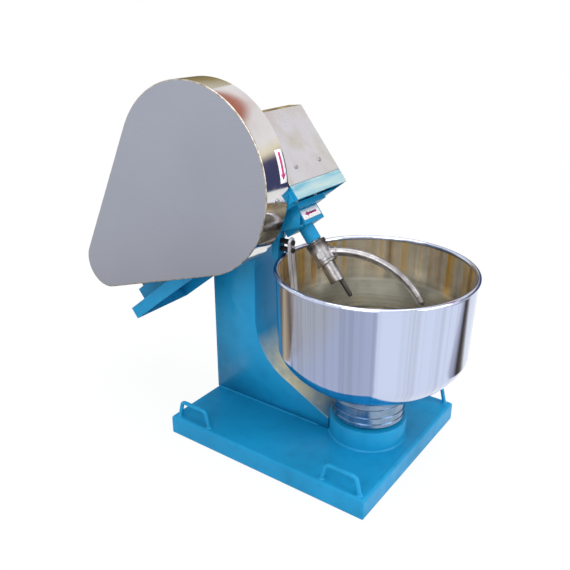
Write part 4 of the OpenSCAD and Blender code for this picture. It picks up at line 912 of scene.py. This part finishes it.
def open_far_nose(bm):
    """Cut the far side away in front of the bearing block's rear face."""
    behind = HEAD @ Vector((BLOCK_REAR, 0, 0))
    along = HEAD.col[0].xyz
    for place, normal in ((behind, along), (Vector(), ACROSS)):
        far = [face for face in bm.faces if max(point.co.y for point in face.verts) > 0]
        geom = far + list({edge for face in far for edge in face.edges})
        geom += list({point for face in far for point in face.verts})
        bmesh.ops.bisect_plane(bm, geom=geom, plane_co=place, plane_no=normal, dist=1e-6)
    cut = [face for face in bm.faces if face.calc_center_median().y > 0
           and (face.calc_center_median() - behind).dot(along) > 0]
    bmesh.ops.delete(bm, geom=cut, context="FACES")


# Belt guard

GUARD_R = 241 * MM
GUARD_SMALL_R = 72 * MM
GUARD_FACE_Y = -202 * MM
GUARD_BACK_Y = -118 * MM
GUARD_SHEET = 2 * MM
GUARD_EDGE = 3 * MM
GUARD_ARC_STEPS = 72


def guard_point(joint, radius, angle, y=GUARD_FACE_Y):
    """Point of the guard's outline on the circle round a joint."""
    return joint_place(joint) + Vector((radius * math.cos(angle), y, radius * math.sin(angle)))


def guard_ends():
    """Directions in which the guard's two straight sides touch its circles."""
    line = joint_place("worm_spin") - joint_place("rotor_spin")
    slope = math.atan2(line.z, line.x)
    lean = math.acos((GUARD_R - GUARD_SMALL_R) / line.length)
    return slope + math.pi - lean, slope - math.pi + lean


def make_guard():
    bm = bmesh.new()
    rear_side, lower_side = guard_ends()
    sweep = rear_side - lower_side
    face_y = GUARD_FACE_Y * ACROSS
    large_from = bm.verts.new(guard_point("worm_spin", GUARD_R, lower_side))
    large_to = spin_point(bm, large_from, joint_place("worm_spin") + face_y, -ACROSS, sweep,
                          GUARD_ARC_STEPS)
    small_from = bm.verts.new(guard_point("rotor_spin", GUARD_SMALL_R, rear_side))
    small_to = spin_point(bm, small_from, joint_place("rotor_spin") + face_y, -ACROSS,
                          2 * math.pi - sweep, GUARD_ARC_STEPS // 2)
    bm.edges.new((large_to, small_from))
    bm.edges.new((small_to, large_from))
    bmesh.ops.contextual_create(bm, geom=list(bm.edges))
    face = bm.faces[:][0]
    fold = list(face.edges)
    pull_ring(bm, fold, (GUARD_BACK_Y - GUARD_FACE_Y) * ACROSS)
    bmesh.ops.recalc_face_normals(bm, faces=bm.faces)
    if face.normal.y > 0:
        bmesh.ops.reverse_faces(bm, faces=bm.faces)
    bmesh.ops.bevel(bm, geom=fold, offset=GUARD_EDGE, segments=4, profile=0.5, affect="EDGES",
                    material=-1)
    bm.normal_update()
    for side in bm.faces:
        tilt = abs(side.normal.y)
        side.material_index = 0 if tilt > 0.99 else 1 if tilt < 0.01 else 2
    piece = new_piece("belt_guard", bm, "stainless_sheet", "root", ["guard_shell"],
                      [BRUSHED_SHEET, FINISHES["stainless_sheet"], FOLDED_EDGE])
    thicken(piece, GUARD_SHEET)
    even = piece.modifiers.new("even_normals", "WEIGHTED_NORMAL")
    even.keep_sharp = True


# Carry handles

HANDLE_ROD_R = 5.5 * MM
HANDLE_BEND = 13 * MM
HANDLE_HALF = 31 * MM
HANDLE_TOP = BASE_TOP + 46 * MM
HANDLE_FLARE = math.radians(14)
# Weld at a handle's foot as (distance from the rod's skin, height over the base)
HANDLE_WELD = [(-1 * MM, 4 * MM), (0.8 * MM, 3.5 * MM), (2 * MM, 2 * MM), (3.5 * MM, 0), (-1 * MM, 0)]
HANDLE_AT = {
    "handle_front_near": (64 * MM, -243 * MM), "handle_front_far": (64 * MM, 243 * MM),
    "handle_rear_near": (-403 * MM, -243 * MM), "handle_rear_far": (-403 * MM, 243 * MM)}


def handle_rod(x, y):
    """Half a bent rod from the middle of its top bar down to one foot, then the other half."""
    bm = bmesh.new()
    facing = Matrix.Translation((x, y, HANDLE_TOP)) @ Matrix.Rotation(math.pi / 2, 4, "Y")
    ring = new_ring(bm, HANDLE_ROD_R, facing)
    ring = pull_ring(bm, ring, (HANDLE_HALF, 0, 0))
    ring = bend_ring(bm, ring, (x + HANDLE_HALF, y, HANDLE_TOP - HANDLE_BEND), ACROSS,
                     math.pi / 2 - HANDLE_FLARE, 10)
    drop = HANDLE_TOP - HANDLE_BEND + HANDLE_BEND * math.sin(HANDLE_FLARE) - BASE_TOP + 1.5 * MM
    pull_ring(bm, ring, (drop * math.tan(HANDLE_FLARE), 0, -drop))
    bmesh.ops.mirror(bm, geom=bm.verts[:] + bm.edges[:] + bm.faces[:],
                     matrix=Matrix.Translation((-x, 0, 0)), axis="X", merge_dist=1e-6)
    bmesh.ops.remove_doubles(bm, verts=bm.verts, dist=1e-6)
    return bm


def handle_foot():
    """Distance of a handle's foot from the middle of the handle."""
    rise = HANDLE_TOP - HANDLE_BEND + HANDLE_BEND * math.sin(HANDLE_FLARE) - BASE_TOP
    return HANDLE_HALF + HANDLE_BEND * math.cos(HANDLE_FLARE) + rise * math.tan(HANDLE_FLARE)


def make_handles():
    fillet = [(HANDLE_ROD_R + out, BASE_TOP + up) for out, up in HANDLE_WELD]
    for node, (x, y) in HANDLE_AT.items():
        bm = handle_rod(x, y)
        close_ends(bm)
        new_piece(node + "_rod", bm, "blue_paint", "root", [node])
        for end, shift in (("front", handle_foot()), ("rear", -handle_foot())):
            foot = Matrix.Translation((x + shift, y, 0))
            new_piece(f"{node}_{end}_weld", turned(fillet, foot, 24), "blue_paint", "root")


# Kneader

FORK_GRAIN = 1.6 * MM

# Turned rings as (radius, height along the kneader's axis)
FORK_RINGS = {
    "fork_collar": [(14 * MM, -95.5 * MM), (25 * MM, -95.5 * MM), (27 * MM, -97 * MM),
                    (27 * MM, -104 * MM), (25.5 * MM, -105.5 * MM), (14 * MM, -105.5 * MM)],
    "fork_flange": [(19 * MM, -150 * MM), (27.5 * MM, -150 * MM), (29 * MM, -151.5 * MM),
                    (29 * MM, -157 * MM), (27 * MM, -159 * MM), (19 * MM, -159 * MM)]}
SLEEVE = [(10 * MM, -93 * MM), (18.5 * MM, -93 * MM), (20 * MM, -91.5 * MM), (20 * MM, -52 * MM),
          (23 * MM, -50.5 * MM), (24 * MM, -48 * MM), (10 * MM, -48 * MM)]


def make_fork():
    """The fork as a casting: its joints filled and its edges worn round."""
    piece = new_piece("fork_cast", node_copy("kneading_fork"), "fork_casting", "kneader",
                      ["kneading_fork"], crease=80)
    cast = piece.modifiers.new("cast", "REMESH")
    cast.mode = "VOXEL"
    cast.voxel_size = FORK_GRAIN
    cast.use_smooth_shade = True
    worn = piece.modifiers.new("worn", "SMOOTH")
    worn.factor = 0.5
    worn.iterations = 8


def make_fork_rings():
    for name, profile in FORK_RINGS.items():
        new_piece(name, turned(profile, HEAD, 64), "fork_casting", "kneader")


def make_sleeve():
    new_piece("sleeve_tube", turned(SLEEVE, HEAD, 64), "blue_paint", "root", ["shaft_sleeve"])


# Scraper

SCRAPER_X = -223.6 * MM
SCRAPER_Y = -40 * MM
SCRAPER_TOP = BOWL_RIM + 50 * MM
SCRAPER_KNEE = BOWL_RIM - 8 * MM
SCRAPER_LEG = 6.8 * MM
SCRAPER_THIN = 3.5 * MM
SCRAPER_GAP = 8 * MM
SCRAPER_LEAN = math.radians(7)
SCRAPER_DROP = 121 * MM


def make_scraper():
    """A flattened rod bent into a hairpin that hangs inside the bowl's wall."""
    bm = bmesh.new()
    bend_z = SCRAPER_TOP - SCRAPER_GAP - SCRAPER_LEG
    flat = (SCRAPER_THIN / SCRAPER_LEG, 1)
    first = new_ring(bm, SCRAPER_LEG, Matrix.Translation((SCRAPER_X, SCRAPER_Y - SCRAPER_GAP, bend_z)),
                     24, flat)
    second = bend_ring(bm, first, (SCRAPER_X, SCRAPER_Y, bend_z), (-1, 0, 0), math.pi, 16)
    lean = Vector((math.sin(SCRAPER_LEAN), 0, -math.cos(SCRAPER_LEAN)))
    for ring in (first, second):
        ring = pull_ring(bm, ring, (0, 0, SCRAPER_KNEE - bend_z))
        pull_ring(bm, ring, SCRAPER_DROP * lean)
    bmesh.ops.remove_doubles(bm, verts=bm.verts, dist=1e-6)
    close_ends(bm)
    new_piece("scraper_hairpin", bm, "machined_steel", "root", ["scraper_bar"],
              [SATIN_ROD])


# Stickers

STICKER_LIFT = 0.4 * MM
STICKER_SHEET = 0.14 * MM
INK_LIFT = 0.15 * MM
BLOCK_STICKER = (76 * MM, 26 * MM)
BLOCK_ARROW = (50 * MM, 14 * MM)
BLOCK_FRONT = 36 * MM
BLOCK_MIDDLE = -26.5 * MM
# Strips on the rim: near and far edge, first and last direction; then the corners of the arrow's head
RIM_PAPER = (-146 * MM, -122 * MM, math.radians(23), math.radians(4.5))
RIM_SHAFT = (-138 * MM, -130 * MM, math.radians(21.5), math.radians(9.5))
RIM_HEAD = [(math.radians(9.5), -143.5 * MM), (math.radians(9.5), -124.5 * MM),
            (math.radians(6), -134 * MM)]


def sticker_sheet(bm, length, height):
    made = bmesh.ops.create_grid(bm, x_segments=24, y_segments=1, size=0.5)
    bmesh.ops.scale(bm, vec=(length, height, 1), verts=made["verts"])


def sticker_arrow(bm, length, height, lift):
    """Plain arrow along X, its head at the low end."""
    neck = -length / 2 + height
    outline = [(-length / 2, 0), (neck, height / 2), (neck, height / 5), (length / 2, height / 5),
               (length / 2, -height / 5), (neck, -height / 5), (neck, -height / 2)]
    points = [bm.verts.new((x, y, lift)) for x, y in outline]
    face = bm.faces.new(points)
    face.material_index = 1


def make_block_sticker():
    bm = bmesh.new()
    sticker_sheet(bm, *BLOCK_STICKER)
    sticker_arrow(bm, *BLOCK_ARROW, INK_LIFT)
    facing = Matrix(((0, 0, 1), (1, 0, 0), (0, 1, 0))).to_4x4()
    place = HEAD @ Matrix.Translation((BLOCK_FRONT + STICKER_LIFT, 0, BLOCK_MIDDLE)) @ facing
    bmesh.ops.transform(bm, matrix=place, verts=bm.verts)
    bmesh.ops.recalc_face_normals(bm, faces=bm.faces)
    piece = new_piece("block_arrow", bm, "black_plastic", "root", (), [WHITE_VINYL, MAGENTA_INK])
    thicken(piece, STICKER_SHEET)


def rim_strip(bm, near, far, start, end, lift):
    """Strip of vinyl on the guard's rim between two directions round the worm."""
    centre = joint_place("worm_spin")
    corners = [bm.verts.new(guard_point("worm_spin", GUARD_R + lift, start, y)) for y in (near, far)]
    edge = bm.edges.new(corners)
    bmesh.ops.spin(bm, geom=corners + [edge], cent=centre, axis=ACROSS, angle=start - end, steps=16)


def make_rim_sticker():
    """Plain arrow that points down along the guard's rim."""
    bm = bmesh.new()
    rim_strip(bm, *RIM_PAPER, STICKER_LIFT)
    under = set(bm.faces)
    ink = STICKER_LIFT + INK_LIFT
    rim_strip(bm, *RIM_SHAFT, ink)
    bm.faces.new([bm.verts.new(guard_point("worm_spin", GUARD_R + ink, turn, y))
                  for turn, y in RIM_HEAD])
    bmesh.ops.remove_doubles(bm, verts=bm.verts, dist=1e-6)
    bm.normal_update()
    for face in bm.faces:
        face.material_index = 0 if face in under else 1
        if face.normal.dot(face.calc_center_median() - joint_place("worm_spin")) < 0:
            face.normal_flip()
    piece = new_piece("rim_arrow", bm, "black_plastic", "root", (), [WHITE_VINYL, MAGENTA_INK])
    thicken(piece, STICKER_SHEET)


# Weld beads

BEAD = 2.6 * MM
BEAD_STEP = 5 * MM
BEAD_SWELL = 1.22


def weld_bead(bm, start, end):
    """Ropey bead: a ring pulled along in short steps that swell and shrink."""
    way = end - start
    steps = max(2, round(way.length / BEAD_STEP))
    facing = way.to_track_quat("Z", "Y").to_matrix().to_4x4()
    ring = new_ring(bm, BEAD, Matrix.Translation(start) @ facing, 10)
    for step in range(1, steps + 1):
        ring = pull_ring(bm, ring, way / steps)
        swell = BEAD_SWELL if step % 2 else 1 / BEAD_SWELL
        middle = start + way * step / steps
        bmesh.ops.scale(bm, vec=(swell, swell, swell), space=Matrix.Translation(-middle),
                        verts=ring_points(ring))


def make_welds():
    bm = bmesh.new()
    for side in (-COLUMN_HALF, COLUMN_HALF):
        rear = Vector((COLUMN_REAR + 4 * MM, side, BASE_TOP))
        front = Vector((TOE_X - 30 * MM, side, BASE_TOP))
        weld_bead(bm, rear, front)
    close_ends(bm)
    new_piece("foot_welds", bm, "blue_paint", "root")


# Nodes that keep their own shape, with a finish or rounded edges

def dress_nodes():
    for name, node in nodes.items():
        node.data.materials.clear()
        node.data.materials.append(FINISHES[slot_of[name]])


TRAY_FRONT = -200 * MM


def tray_face(face):
    """The finish with the painted pale reflection for the tray's front end."""
    faces_front = face.normal.dot(HEAD.col[0].xyz) > 0.99
    return 1 if faces_front and face.calc_center_median().x > TRAY_FRONT else 0


def cover_face(face):
    """The finish with the painted brown reflection for the slanted strip along the cover's top."""
    along = face.normal.dot(HEAD.col[0].xyz)
    return 1 if 0.1 < along < 0.95 else 0


PLATE_EDGE = 1.2 * MM
PAN_EDGE = 2.5 * MM
BOLT_EDGE = 0.4 * MM


def soften_machine():
    for node in ("saddle_plate", "tray_ribs", "lower_bearing_block", "column_rear_panel",
                 "scraper_lug", "guard_bracket_front", "guard_bracket_rear", "motor_rails"):
        softened(node, PLATE_EDGE)
    softened("head_tray", PLATE_EDGE, 2, [FINISHES["blue_paint"], SHEEN_STREAK_ENAMEL], tray_face)
    softened("base_pan", PAN_EDGE, 3)
    softened("gear_cover", PLATE_EDGE, 2, [SATIN_SHEET, STRAW_SHEET], cover_face)
    for node in ("saddle_bolts", "clamp_bolt", "guard_screws", "gear_cover_screws"):
        softened(node, BOLT_EDGE)
    for node in ("scraper_bolts", "fork_finger"):
        softened(node, BOLT_EDGE, 2, [BLACK_OXIDE])


def main():
    make_camera()
    light_scene()
    dress_nodes()
    soften_machine()
    make_bowl()
    make_hub()
    make_pedestal()
    make_column()
    make_guard()
    make_handles()
    make_fork()
    make_fork_rings()
    make_sleeve()
    make_scraper()
    make_block_sticker()
    make_rim_sticker()
    make_welds()


main()
